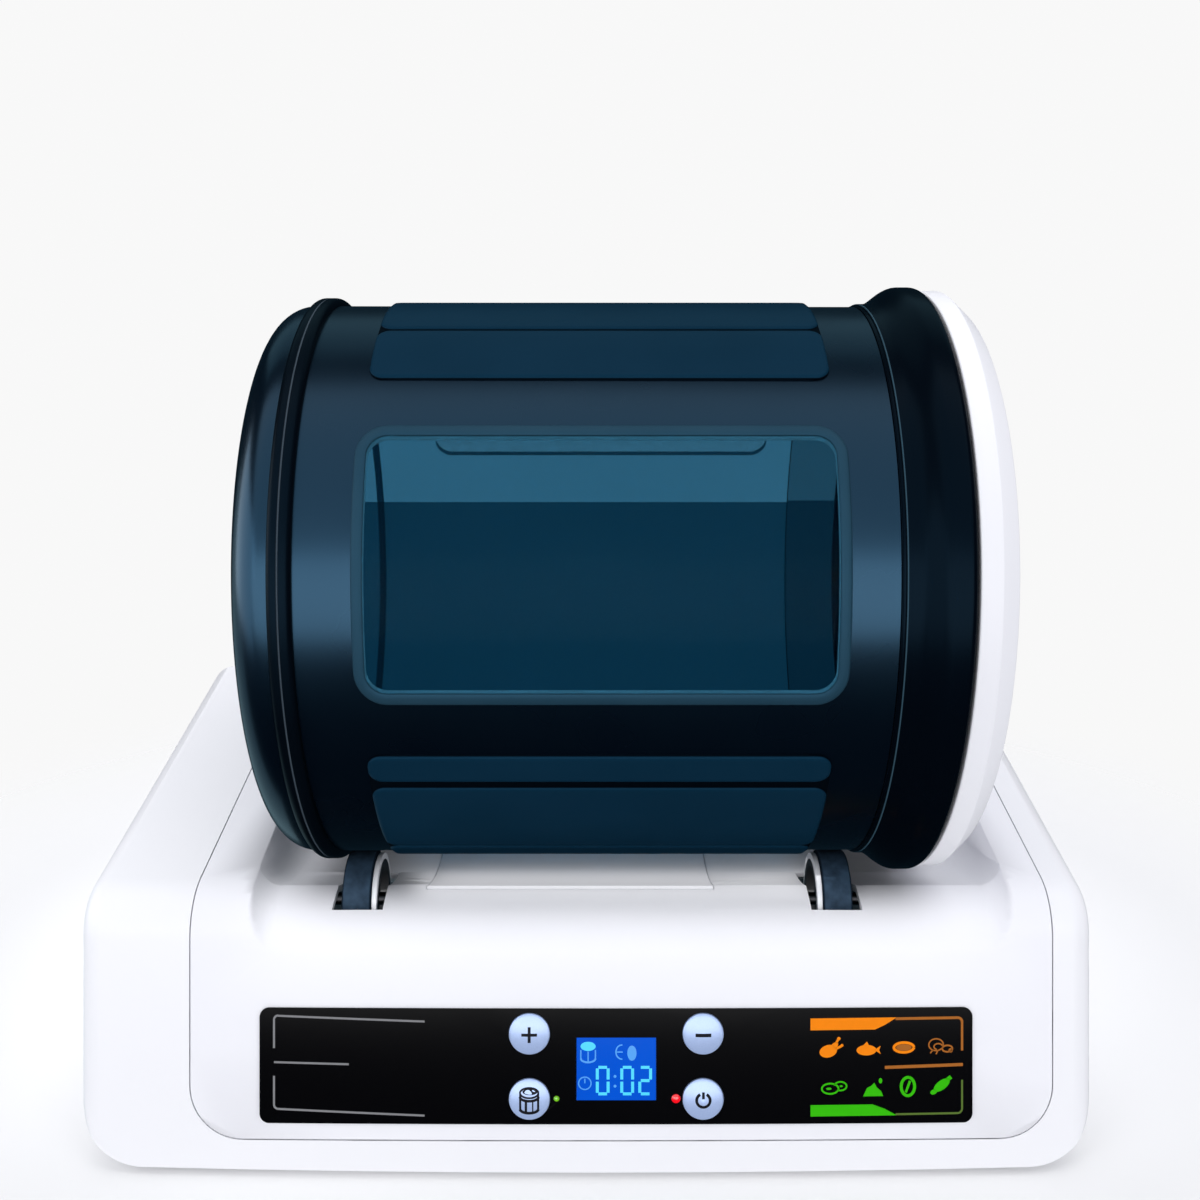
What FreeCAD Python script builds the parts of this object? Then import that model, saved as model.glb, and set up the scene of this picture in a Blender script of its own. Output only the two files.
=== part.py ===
import FreeCAD, Part
import Sketcher
import math
import os

# Vacuum marinator: a drum that lies on four driven wheels in the cradle of a base.
# Millimetres. X runs along the drum towards its lid, -Y is the front, +Z is up.
# The origin is the middle of the whole object, on the surface that it stands on.

SIZES = {
    # base housing
    "base_width": 380.0,
    "front_reach": 120.5,
    "back_reach": 115.0,
    "foot_height": 3.0,
    "deck_top": 93.6,
    "face_lean": 23.9,
    "bow_radius": 5200.0,
    "brow_round": 22.0,
    "side_round": 9.0,
    "corner_round": 25.0,
    "shell_wall": 2.5,
    "seam_left": 42.5,
    "seam_right": 16.1,
    "seam_low": 11.5,
    "seam_back": 7.5,
    "seam_round": 20.0,
    "seam_gap": 0.5,
    # cradle
    "cradle_left": 63.5,
    "cradle_right": 29.8,
    "cradle_drop": 7.0,
    "trough_radius": 120.5,
    "trough_round": 9.0,
    "slot_side": 3.0,
    "slot_reach": 2.5,
    "hatch_left": 62.1,
    "hatch_right": 49.4,
    "hatch_half": 68.0,
    "hatch_gap": 0.5,
    "ledge_width": 4.0,
    "ledge_thick": 1.8,
    # wheels and axles
    "drum_y": 6.5,
    "drum_z": 187.7,
    "wheel_spread": 60.5,
    "wheel_radius": 19.0,
    "roll_gap": 0.3,
    "tyre_width": 11.2,
    "tyre_depth": 3.5,
    "hub_lip": 2.0,
    "hub_dish": 12.8,
    "dish_depth": 5.0,
    "dish_round": 1.5,
    "lip_step": 1.2,
    "tyre_crown": 0.8,
    "end_float": 0.3,
    "axle_tail": 2.0,
    "left_tyre": 87.4,
    "right_tyre": 95.6,
    "axle_radius": 2.5,
    "bush_radius": 4.5,
    "bush_flange": 6.5,
    "bush_head": 1.2,
    "running_gap": 0.05,
    "frame_thick": 3.0,
    "frame_gap": 1.5,
    "frame_ear": 9.0,
    "frame_foot": 14.0,
    "frame_hole": 12.0,
    "frame_hole_z": 42.0,
    "frame_pitch": 38.0,
    "foot_pitch": 55.0,
    "clip_radius": 4.2,
    "clip_thick": 1.0,
    "gear_teeth": 20.0,
    "gear_module": 1.2,
    "gear_width": 7.0,
    "gear_gap": 2.5,
    # drum
    "barrel_radius": 107.0,
    "barrel_wall": 3.0,
    "barrel_left": 97.5,
    "barrel_length": 199.4,
    "bead_rise": 3.0,
    "bead_width": 7.8,
    "cap_depth": 18.4,
    "cap_round": 13.0,
    "cap_crown": 1.5,
    "pad_rise": 1.3,
    "pad_left": 73.0,
    "pad_length": 156.0,
    "pad_angle": 48.0,
    "pad_groove": 1.2,
    "pad_step": 11.6,
    "pad_corner": 9.0,
    "frame_rise": 0.7,
    "window_left": 71.2,
    "window_length": 155.7,
    "window_angle": 49.0,
    "window_line": 2.2,
    "window_round": 12.0,
    "window_turn": 25.8,
    "collar_rise": 7.0,
    "collar_length": 23.2,
    "collar_lip": 3.0,
    "collar_crest": 4.0,
    "collar_neck": 4.0,
    "neck_rise": 0.8,
    "spigot_length": 8.0,
    "spigot_wall": 2.9,
    "weld_gap": 0.1,
    "lid_radius": 112.7,
    "lid_edge": 7.2,
    "lid_depth": 14.5,
    "lid_face": 106.0,
    "lid_wall": 3.0,
    "lid_gap": 0.4,
    "plug_depth": 10.0,
    "plug_gap": 1.4,
    "gasket_inner": 103.5,
    "gasket_wide": 4.0,
    "gasket_thick": 2.0,
    "knob_radius": 13.0,
    "knob_height": 7.0,
    "knob_stem": 3.0,
    "knob_travel": 2.0,
    "knob_seal": 8.0,
    "seat_radius": 19.0,
    "seat_depth": 1.2,
    "lid_bevel": 1.5,
    "knob_neck": 2.5,
    "knob_edge": 1.2,
    "seal_thick": 1.5,
    # panel and controls, measured along the face from its bottom edge
    "panel_x": 11.2,
    "panel_low": 18.1,
    "panel_width": 264.4,
    "panel_height": 42.7,
    "panel_round": 3.5,
    "panel_thick": 0.6,
    "button_radius": 7.5,
    "button_side": 32.1,
    "button_high": 51.65,
    "button_low": 27.55,
    "button_rise": 1.8,
    "button_gap": 0.25,
    "button_travel": 0.8,
    "button_flange": 1.4,
    "screen_v": 38.5,
    "screen_width": 29.2,
    "screen_height": 23.0,
    "board_depth": 11.0,
    "board_thick": 1.6,
    "board_width": 150.0,
    "board_height": 44.0,
    "lamp_side": 22.1,
    "small_lamp": 1.0,
    "large_lamp": 1.6,
    "lamp_stem": 0.8,
    "lamp_head": 2.0,
    "lamp_gap": 0.15,
    "lamp_dome": 0.6,
    "button_dome": 1.2,
    "screen_frame": 3.5,
    "switch_side": 6.0,
    "switch_height": 2.5,
    "plunger_rise": 1.0,
    "board_v": 39.0,
    "board_post_x": 69.0,
    "board_post_v": 18.0,
    "thread_radius": 1.3,
    "thread_length": 6.0,
    "head_thick": 1.4,
    "screw_length": 10.0,
    "screw_radius": 1.5,
    "screw_head": 3.0,
    # parts inside
    "plate_thick": 2.5,
    "fit_gap": 0.3,
    "plate_round": 10.0,
    "post_left": 80.0,
    "post_right": 58.0,
    "post_front": 84.0,
    "post_back": 90.0,
    "plate_screw_inset": 39.0,
    "plate_screw_y": 79.5,
    "boss_height": 5.0,
    "boss_radius": 2.8,
    "post_radius": 4.0,
    "foot_round": 1.0,
    "foot_radius": 9.0,
    "foot_inset": 40.0,
    "foot_y": 92.0,
    "hatchway_inset": 52.0,
    "hatchway_y": 95.0,
    "plate_inset": 26.0,
    "plate_y": 103.0,
    "motor_radius": 18.5,
    "motor_length": 35.0,
    "gearbox_side": 36.0,
    "gearbox_length": 24.0,
    "shaft_radius": 3.0,
    "shaft_grip": 8.0,
    "can_step": 1.0,
    "pump_radius": 13.5,
    "pump_length": 42.0,
    "pump_head": 30.0,
    "pump_x": -60.0,
    "saddle_length": 14.0,
    "saddle_inset": 12.0,
    "pump_y": 28.0,
    "pump_z": 27.0,
    "tube_radius": 3.0,
    "tube_bore": 1.5,
    "tube_bend": 16.0,
    "nozzle_length": 6.0,
    "port_x": 100.0,
    "port_flange": 6.5,
    "port_step": 1.5,
    "port_z": 27.0,
    "port_radius": 3.2,
    "port_length": 5.0,
    "inlet_x": 110.0,
    "inlet_z": 24.0,
    "inlet_width": 26.0,
    "inlet_height": 16.0,
    "inlet_rim": 2.5,
    "inlet_lip": 1.5,
    "inlet_depth": 16.0,
    "pin_side": 4.3,
    "pin_room": 4.4,
    "pin_radius": 1.2,
    "pin_length": 9.0,
    "supply_x": 0.0,
    "supply_y": 42.0,
    "supply_length": 100.0,
    "supply_depth": 50.0,
    "supply_lift": 6.0,
    "supply_post_x": 44.0,
    "supply_post_y": 20.0,
    "coil_side": 28.0,
}

doc = FreeCAD.newDocument("vacuum_marinator")
sheet = doc.addObject("Spreadsheet::Sheet", "sizes")
for row, (name, value) in enumerate(SIZES.items(), start=1):
    sheet.set("A%d" % row, name)
    sheet.set("B%d" % row, str(value))
    sheet.setAlias("B%d" % row, name)
doc.recompute()


class Size:
    """A length or an angle: its value, and the expression on the sheet that gives it."""

    def __init__(self, value, text=None):
        self.value = float(value)
        self.text = text or repr(float(value))

    def __add__(self, other):
        other = sized(other)
        return Size(self.value + other.value, "(%s + %s)" % (self.text, other.text))

    def __sub__(self, other):
        other = sized(other)
        return Size(self.value - other.value, "(%s - %s)" % (self.text, other.text))

    def __mul__(self, other):
        other = sized(other)
        return Size(self.value * other.value, "(%s * %s)" % (self.text, other.text))

    def __truediv__(self, other):
        other = sized(other)
        return Size(self.value / other.value, "(%s / %s)" % (self.text, other.text))

    def __radd__(self, other):
        return sized(other) + self

    def __rsub__(self, other):
        return sized(other) - self

    def __rmul__(self, other):
        return sized(other) * self

    def __neg__(self):
        return Size(-self.value, "(-1 * %s)" % self.text)


def sized(number):
    return number if isinstance(number, Size) else Size(number)


def root(x):
    return Size(math.sqrt(x.value), "sqrt(%s)" % x.text)


def sine(x):
    return Size(math.sin(math.radians(x.value)), "sin(%s)" % x.text)


def cosine(x):
    return Size(math.cos(math.radians(x.value)), "cos(%s)" % x.text)


def tangent(x):
    return Size(math.tan(math.radians(x.value)), "tan(%s)" % x.text)


class Named:
    """Gives each driving size by its name on the sheet."""

    def __getattr__(self, name):
        return Size(SIZES[name], "sizes." + name)


at = Named()


def bind(thing, prop, amount):
    thing.setExpression(prop, sized(amount).text)


def put(thing, x=0.0, y=0.0, z=0.0, axis=None, angle=0.0):
    """Places an object, first turned by angle about axis."""
    turn = FreeCAD.Rotation(FreeCAD.Vector(*axis), angle) if axis else FreeCAD.Rotation()
    spot = FreeCAD.Vector(sized(x).value, sized(y).value, sized(z).value)
    thing.Placement = FreeCAD.Placement(spot, turn)
    bind(thing, "Placement.Base.x", x)
    bind(thing, "Placement.Base.y", y)
    bind(thing, "Placement.Base.z", z)
    return thing


def fix_point(sketch, curve, end, u, v):
    """Holds one end of a curve at u, v from the sketch's origin."""
    for kind, amount in (("DistanceX", sized(u)), ("DistanceY", sized(v))):
        number = sketch.addConstraint(Sketcher.Constraint(kind, -1, 1, curve, end, amount.value))
        sketch.setExpression("Constraints[%d]" % number, amount.text)


def draw_loop(sketch, corners):
    """Draws a closed outline. A corner u, v, radius is reached by an arc: left turns are positive."""
    ends = []
    for index, corner in enumerate(corners):
        before = corners[index - 1]
        start = FreeCAD.Vector(sized(before[0]).value, sized(before[1]).value, 0)
        stop = FreeCAD.Vector(sized(corner[0]).value, sized(corner[1]).value, 0)
        if len(corner) == 2:
            curve = sketch.addGeometry(Part.LineSegment(start, stop), False)
            ends.append((curve, 1, 2))
            continue
        radius = sized(corner[2])
        chord = stop - start
        rise = math.sqrt(radius.value ** 2 - (chord.Length / 2) ** 2)
        side = math.copysign(1.0, radius.value)
        left = FreeCAD.Vector(-chord.y, chord.x, 0).normalize()
        centre = (start + stop) * 0.5 + left * rise * side
        circle = Part.Circle(centre, FreeCAD.Vector(0, 0, 1), abs(radius.value))
        first, last = (start, stop) if side > 0 else (stop, start)
        from_angle = math.atan2(first.y - centre.y, first.x - centre.x)
        to_angle = math.atan2(last.y - centre.y, last.x - centre.x)
        curve = sketch.addGeometry(Part.ArcOfCircle(circle, from_angle, to_angle), False)
        ends.append((curve, 1, 2) if side > 0 else (curve, 2, 1))
        number = sketch.addConstraint(Sketcher.Constraint("Radius", curve, abs(radius.value)))
        sketch.setExpression("Constraints[%d]" % number, (radius if side > 0 else -radius).text)
    for index, (curve, start, stop) in enumerate(ends):
        after, after_start, after_stop = ends[(index + 1) % len(ends)]
        sketch.addConstraint(Sketcher.Constraint("Coincident", curve, stop, after, after_start))
        fix_point(sketch, curve, stop, corners[index][0], corners[index][1])


def draw_circle(sketch, u, v, radius):
    spot = FreeCAD.Vector(sized(u).value, sized(v).value, 0)
    circle = Part.Circle(spot, FreeCAD.Vector(0, 0, 1), sized(radius).value)
    curve = sketch.addGeometry(circle, False)
    fix_point(sketch, curve, 3, u, v)
    number = sketch.addConstraint(Sketcher.Constraint("Radius", curve, sized(radius).value))
    sketch.setExpression("Constraints[%d]" % number, sized(radius).text)


def sketch_in(body, plane, loops, start=0.0, shift=0.0):
    """Adds a sketch on one of the body's planes. A loop of one triple is a circle."""
    sketch = body.newObject("Sketcher::SketchObject", body.Name + "_outline")
    face = [item for item in body.Origin.OriginFeatures if item.Role == plane][0]
    sketch.AttachmentSupport = [(face, "")]
    sketch.MapMode = "FlatFace"
    spot = FreeCAD.Vector(sized(shift).value, 0, sized(start).value)
    sketch.AttachmentOffset = FreeCAD.Placement(spot, FreeCAD.Rotation())
    bind(sketch, "AttachmentOffset.Base.x", shift)
    bind(sketch, "AttachmentOffset.Base.z", start)
    for loop in loops:
        if len(loop) == 1:
            draw_circle(sketch, *loop[0])
        else:
            draw_loop(sketch, loop)
    return sketch


def new_body(name):
    body = doc.addObject("PartDesign::Body", name)
    body.Label = name
    return body


def pad_in(body, plane, loops, length, start=0.0):
    """Pads an outline, from start along the plane's normal."""
    feature = body.newObject("PartDesign::Pad", body.Name + "_pad")
    feature.Profile = sketch_in(body, plane, loops, start)
    feature.Length = sized(length).value
    bind(feature, "Length", length)
    return feature


def pad(name, plane, loops, length, start=0.0):
    body = new_body(name)
    pad_in(body, plane, loops, length, start)
    return body


def revolve(name, plane, loops, axis="H_Axis", shift=0.0, angle=360.0):
    """Turns an outline about the sketch's own axis."""
    body = new_body(name)
    feature = body.newObject("PartDesign::Revolution", name + "_turn")
    outline = sketch_in(body, plane, loops, shift=shift)
    feature.Profile = outline
    feature.ReferenceAxis = (outline, [axis])
    feature.Angle = angle
    feature.Midplane = angle < 360.0
    return body


def cylinder(name, radius, length, x=0.0, y=0.0, z=0.0, axis=None, angle=0.0):
    rod = doc.addObject("Part::Cylinder", name)
    bind(rod, "Radius", radius)
    bind(rod, "Height", length)
    return put(rod, x, y, z, axis, angle)


def rod_x(name, radius, length, x, y, z):
    return cylinder(name, radius, length, x, y, z, (0, 1, 0), 90)


def box(name, length, width, height, x=0.0, y=0.0, z=0.0, axis=None, angle=0.0):
    block = doc.addObject("Part::Box", name)
    bind(block, "Length", length)
    bind(block, "Width", width)
    bind(block, "Height", height)
    return put(block, x, y, z, axis, angle)


def cut(name, base, *tools):
    result = base
    for index, tool in enumerate(tools):
        last = index == len(tools) - 1
        step = doc.addObject("Part::Cut", name if last else "%s_cut%d" % (name, index))
        step.Base = result
        step.Tool = tool
        result = step
    return result


def fuse(name, *shapes):
    whole = doc.addObject("Part::MultiFuse", name)
    whole.Shapes = list(shapes)
    return whole


def common(name, *shapes):
    whole = doc.addObject("Part::MultiCommon", name)
    whole.Shapes = list(shapes)
    return whole


def group(name, *shapes):
    whole = doc.addObject("Part::Compound", name)
    whole.Links = list(shapes)
    return whole


def rounded(name, base, radius, chosen):
    """Rounds the edges that chosen picks on the base's recomputed shape."""
    doc.recompute()
    fillet = doc.addObject("Part::Fillet", name)
    fillet.Base = base
    amount = sized(radius).value
    picked = [i for i, edge in enumerate(base.Shape.Edges, start=1) if chosen(edge)]
    fillet.Edges = [(i, amount, amount) for i in picked]
    return fillet


def rounded_box_loop(left, right, low, high, low_round, high_round):
    """An upright rectangle with rounded corners; a round of None leaves the corner square."""
    loop = []
    if low_round is None:
        loop += [(left, low), (right, low)]
    else:
        loop += [(left + low_round, low), (right - low_round, low)]
        loop += [(right, low + low_round, low_round)]
    if high_round is None:
        loop += [(right, high), (left, high)]
    else:
        loop += [(right, high - high_round), (right - high_round, high, high_round)]
        loop += [(left + high_round, high), (left, high - high_round, high_round)]
    if low_round is not None:
        loop[0:0] = [(left, low + low_round)]
        loop[1] = (left + low_round, low, low_round)
    return loop


finished = []


def finish(thing, name):
    thing.Label = name
    finished.append(thing)
    return thing


# Sizes that several pieces share
half_width = at.base_width / 2
shell_low = at.foot_height
plate_top = shell_low + at.shell_wall + at.plate_thick
plate_screw_x = half_width - at.plate_screw_inset
seam_x1 = at.seam_left - half_width
seam_x2 = half_width - at.seam_right
trough_x1 = at.cradle_left - half_width
trough_x2 = half_width - at.cradle_right
contact = at.barrel_radius + at.wheel_radius + at.roll_gap
axle_z = at.drum_z - root(contact * contact - at.wheel_spread * at.wheel_spread)
front_axle_y = at.drum_y - at.wheel_spread
rear_axle_y = at.drum_y + at.wheel_spread
left_frame_x = trough_x1 - at.shell_wall - at.frame_gap - at.frame_thick
right_frame_x = trough_x2 + at.shell_wall + at.frame_gap
gear_x = right_frame_x + at.frame_thick + at.gear_gap
pitch_radius = at.gear_teeth * at.gear_module / 2
pinion_z = axle_z - pitch_radius * 2
REACH = 30.0
FAR = 400.0
WIDE_ANGLE = 5.0


def on_face(thing, x, v, depth):
    """Places an object in the front face's own axes: X, up along the face, and out of it."""
    y = at.front_reach * -1 + v * sine(at.face_lean) - depth * cosine(at.face_lean)
    z = shell_low + v * cosine(at.face_lean) + depth * sine(at.face_lean)
    return put(thing, x, y, z, (1, 0, 0), 90 - SIZES["face_lean"])


def side_profile(inset, top, brow, low, back):
    """The leaning front, the rounded brow and the flat deck, seen from the side."""
    axis_y = at.bow_radius - at.front_reach
    lean = at.face_lean
    front_low = (low - shell_low) * tangent(lean) + inset / cosine(lean) - at.bow_radius
    corner = (top - shell_low) * tangent(lean) + inset / cosine(lean) - at.bow_radius
    run = brow * tangent((90.0 - lean) / 2)
    loop = [
        (front_low, low),
        (corner - run * sine(lean), top - run * cosine(lean)),
        (corner + run, top, -brow),
        (back - axis_y, top),
        (back - axis_y, low),
    ]
    return axis_y, loop


def envelope(name, inset, low):
    """The base's outside, or its inside when inset by the wall."""
    back = at.back_reach - inset
    axis_y, loop = side_profile(inset, at.deck_top - inset, at.brow_round - inset, low, back + REACH)
    bowed = revolve(name + "_bowed", "YZ_Plane", [loop], "V_Axis", axis_y, WIDE_ANGLE)
    trim = box(name + "_trim", (half_width - inset) * 2, at.front_reach + back + REACH, FAR,
               inset - half_width, at.front_reach * -1 - REACH, -REACH)
    block = common(name + "_block", bowed, trim)
    limit = (half_width - inset).value

    def on_side(edge):
        frame = edge.BoundBox
        flat = frame.XMax - frame.XMin < 0.01 and abs(abs(frame.XMax) - limit) < 0.01
        return flat and frame.ZMax > low.value + 0.01

    soft = rounded(name + "_soft", block, at.side_round - inset, on_side)
    end = at.corner_round - inset
    sides = rounded_box_loop(inset - half_width, half_width - inset, low, sized(FAR), end, None)
    front_view = pad(name + "_front_view", "XZ_Plane", [sides], FAR, -FAR / 2)
    return common(name, soft, front_view)


def seam_region(name, gap):
    """What the deck cover fills: bounded down the front face and along the deck."""
    left = seam_x1 + gap
    right = seam_x2 - gap
    turn = at.seam_round - gap
    face_loop = rounded_box_loop(left, right, at.seam_low + gap, sized(FAR), turn, None)
    front = pad(name + "_front", "XY_Plane", [face_loop], FAR + REACH, -FAR)
    on_face(front, 0.0, sized(0.0), sized(0.0))
    back = at.back_reach - at.seam_back - gap
    plan_loop = rounded_box_loop(left, right, at.front_reach * -1 - REACH, back, None, turn)
    floor = shell_low + at.seam_low * cosine(at.face_lean) - at.shell_wall
    plan = pad(name + "_plan", "XY_Plane", [plan_loop], FAR, floor)
    return common(name, front, plan)


def cradle_hollow(name, grow):
    """The round trough for the drum and the lowered brow in front of it, grown by a wall."""
    radius = at.trough_radius + grow
    turn = at.trough_round + grow
    left = trough_x1 - grow
    right = trough_x2 + grow
    flat = radius - turn
    outline = [
        (left, sized(0.0)),
        (right, sized(0.0)),
        (right, flat),
        (right - turn, radius, turn),
        (left + turn, radius),
        (left, flat, turn),
    ]
    trough = revolve(name + "_trough", "XZ_Plane", [outline])
    put(trough, 0.0, at.drum_y, at.drum_z)
    drop = at.deck_top - at.cradle_drop
    brow = at.brow_round - grow
    nudge = sized(0.25)
    axis_y, loop = side_profile(grow, drop - grow, brow, shell_low, at.drum_y)
    tip, brow_end = loop[1], loop[2]
    lean = at.face_lean
    outline = [
        (tip[0] - nudge, tip[1]),
        (brow_end[0] - nudge, brow_end[1], -brow),
        (at.drum_y - axis_y, drop - grow),
        (at.drum_y - axis_y, sized(FAR)),
        (tip[0] - REACH, sized(FAR)),
        (tip[0] - REACH, tip[1] + REACH * tangent(lean)),
    ]
    lowered = revolve(name + "_brow", "YZ_Plane", [outline], "V_Axis", axis_y, WIDE_ANGLE)
    trim = box(name + "_trim", right - left, FAR, FAR, left, -FAR / 2, 0.0)
    notch = common(name + "_notch", lowered, trim)
    low_limit = (drop - grow).value + 0.01

    def end_edge(edge):
        frame = edge.BoundBox
        flat_x = frame.XMax - frame.XMin < 0.01
        at_end = min(abs(frame.XMax - left.value), abs(frame.XMax - right.value)) < 0.01
        middle = edge.CenterOfMass.y > (tip[0] - nudge).value + axis_y.value
        return flat_x and at_end and frame.ZMax < low_limit and middle

    soft = rounded(name + "_soft", notch, turn, end_edge)
    return fuse(name, trough, soft)


def wheel_places():
    """Each wheel's name, its tyre's outer end in X, the way its hub points, and its axle's Y."""
    places = []
    for row, axle_y in (("front", front_axle_y), ("rear", rear_axle_y)):
        places.append((row + "_left", -at.left_tyre - at.tyre_width / 2, 1, axle_y))
        places.append((row + "_right", at.right_tyre + at.tyre_width / 2, -1, axle_y))
    return places


def wheel_slots():
    """Four pockets in the cradle that the wheels stand up through."""
    length = at.tyre_width + at.hub_lip + at.slot_side * 2
    radius = at.wheel_radius + at.slot_reach
    slots = []
    for name, outer_x, way, axle_y in wheel_places():
        start = outer_x - at.slot_side if way > 0 else outer_x + at.slot_side - length
        slots.append(rod_x(name + "_slot", radius, length, start, axle_y, axle_z))
    return slots


def hatch_box(name, grow):
    """The upright block that bounds the hatch, grown or shrunk on its four sides."""
    length = at.hatch_left + at.hatch_right + grow * 2
    width = (at.hatch_half + grow) * 2
    x = -at.hatch_left - grow
    y = at.drum_y - at.hatch_half - grow
    return box(name, length, width, at.deck_top - at.cradle_drop / 2, x, y, 0.0)


def face_prism(name, loops, depth_low, depth_high, x=None, v=0.0):
    """An outline in the front face's own axes, run from one depth to another along its normal."""
    prism = pad(name, "XY_Plane", loops, sized(depth_high) - depth_low, depth_low)
    return on_face(prism, at.panel_x if x is None else x, sized(v), sized(0.0))


def face_strip(name, v_low, v_high, depth_low, depth_high):
    """A bowed sheet that follows the front face between two heights and two depths."""
    axis_y = at.bow_radius - at.front_reach
    lean = at.face_lean
    loop = []
    for v, depth in ((v_low, depth_high), (v_low, depth_low), (v_high, depth_low), (v_high, depth_high)):
        y = v * sine(lean) - depth * cosine(lean) - at.bow_radius
        z = shell_low + v * cosine(lean) + depth * sine(lean)
        loop.append((y, z))
    return revolve(name, "YZ_Plane", [loop], "V_Axis", axis_y, WIDE_ANGLE)


BUTTONS = (
    ("time_up_button", -at.button_side, at.button_high),
    ("tumble_button", -at.button_side, at.button_low),
    ("time_down_button", at.button_side, at.button_high),
    ("power_button", at.button_side, at.button_low),
)
LAMPS = (
    ("tumble_lamp", -at.lamp_side, at.button_low, at.small_lamp),
    ("power_lamp", at.lamp_side, at.button_low, at.large_lamp),
)
BOARD_POSTS = [(x, v) for x in (-1, 1) for v in (-1, 1)]
COVER_POSTS = ((-1, -1), (1, -1), (-1, 1), (1, 1))


def control_holes(name, depth_low, depth_high):
    """The holes for buttons, lamps and screen, through the sheet between two depths."""
    loops = []
    for _, x, v in BUTTONS:
        loops.append([(x, v, at.button_radius + at.button_gap)])
    for _, x, v, radius in LAMPS:
        loops.append([(x, v, radius + at.lamp_gap)])
    half_x = at.screen_width / 2 + at.lamp_gap
    half_v = at.screen_height / 2 + at.lamp_gap
    loops.append(rounded_box_loop(-half_x, half_x, at.screen_v - half_v, at.screen_v + half_v, None, None))
    return face_prism(name, loops, depth_low, depth_high)


def post_spot(side_x, side_y):
    x = at.post_left - half_width if side_x < 0 else half_width - at.post_right
    y = at.post_front * -1 if side_y < 0 else at.post_back
    return x, y


def housing():
    """The outer shell, the deck cover that drops into it, and the hatch in the cradle."""
    outer = envelope("outside", sized(0.0), shell_low)
    inner = envelope("inside", at.shell_wall, shell_low + at.shell_wall)
    side, half_y, turn = half_width - at.hatchway_inset, at.hatchway_y, at.plate_round
    opening_loop = rounded_box_loop(-side, side, -half_y, half_y, turn, turn)
    opening = pad("bottom_opening", "XY_Plane", [opening_loop], at.shell_wall + REACH, -REACH / 2)
    inlet_hole = box("inlet_hole", at.inlet_width + at.fit_gap * 2, REACH, at.inlet_height + at.fit_gap * 2,
                     at.inlet_x - at.inlet_width / 2 - at.fit_gap, at.back_reach - REACH / 2,
                     at.inlet_z - at.inlet_height / 2 - at.fit_gap)
    port_hole = cylinder("port_hole", at.port_flange - at.port_step + at.fit_gap / 3, REACH,
                         at.port_x * -1, at.back_reach + REACH / 2, at.port_z, (1, 0, 0), 90)
    floor_holes = []
    for side_x, side_y in COVER_POSTS:
        floor_holes.append(cylinder("floor_hole", at.thread_radius + at.running_gap, at.shell_wall * 2,
                                    side_x * plate_screw_x, side_y * at.plate_screw_y,
                                    shell_low - at.shell_wall / 2))
    shell = cut("shell_solid", outer, inner, seam_region("shell_seam", sized(0.0)), opening,
                inlet_hole, port_hole, *floor_holes)
    finish(shell, "outer_shell")

    block = common("cover_block", outer, seam_region("cover_seam", at.seam_gap))
    cradle = cradle_hollow("cradle", sized(0.0))
    under_cradle = cradle_hollow("under_cradle", at.shell_wall)
    inside = cut("cover_inside", inner, under_cradle)
    skin = cut("cover_skin", block, cradle, inside)
    lip_cradle = cradle_hollow("lip_cradle", at.shell_wall + at.ledge_thick)
    ledge_block = cut("ledge_block", hatch_box("ledge_outer", at.ledge_width),
                      hatch_box("ledge_inner", at.ledge_width * -1))
    axle_ways = [rod_x("axle_way", at.axle_radius + at.frame_gap, FAR, -FAR / 2, axle_y, axle_z)
                 for axle_y in (front_axle_y, rear_axle_y)]
    ledge = cut("hatch_ledge", common("ledge_skin", ledge_block, lip_cradle), under_cradle, *axle_ways)
    middle = envelope("middle", at.shell_wall / 2, shell_low + at.shell_wall / 2)
    mid_cradle = cradle_hollow("mid_cradle", at.shell_wall / 2)
    posts = []
    for number, (side_x, side_v) in enumerate(BOARD_POSTS):
        x = at.panel_x + side_x * at.board_post_x
        v = at.board_v + side_v * at.board_post_v
        post = pad("board_post_%d" % number, "XY_Plane", [[(0.0, 0.0, at.post_radius * 0.7)]],
                   at.board_depth - at.shell_wall / 2, at.board_depth * -1)
        posts.append(on_face(post, x, v, sized(0.0)))
    for number, (side_x, side_y) in enumerate(COVER_POSTS):
        x, y = post_spot(side_x, side_y)
        post = cylinder("cover_post_%d" % number, at.post_radius, at.deck_top - plate_top, x, y, plate_top)
        posts.append(cut("cover_post_%d_trim" % number, common("cover_post_%d_top" % number, post, middle),
                         mid_cradle))
    whole = fuse("cover_with_posts", cut("cover_open", skin, hatch_box("hatch_opening", sized(0.0))),
                 ledge, *posts)
    bores = []
    for number, (side_x, side_v) in enumerate(BOARD_POSTS):
        x = at.panel_x + side_x * at.board_post_x
        v = at.board_v + side_v * at.board_post_v
        bore = pad("board_bore_%d" % number, "XY_Plane", [[(0.0, 0.0, at.thread_radius + at.running_gap)]],
                   at.thread_length + at.fit_gap, at.board_depth * -1 - at.fit_gap / 2)
        bores.append(on_face(bore, x, v, sized(0.0)))
    for number, (side_x, side_y) in enumerate(COVER_POSTS):
        x, y = post_spot(side_x, side_y)
        bores.append(cylinder("cover_bore_%d" % number, at.screw_radius + at.running_gap,
                              at.screw_length, x, y, plate_top - at.fit_gap))
    cover = cut("cover_solid", whole, control_holes("cover_holes", at.shell_wall * -2, sized(REACH)),
                *(wheel_slots() + bores))
    finish(cover, "deck_cover")

    hatch = common("hatch_solid", skin, hatch_box("hatch_block", at.hatch_gap * -1))
    finish(hatch, "cradle_hatch")


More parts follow.
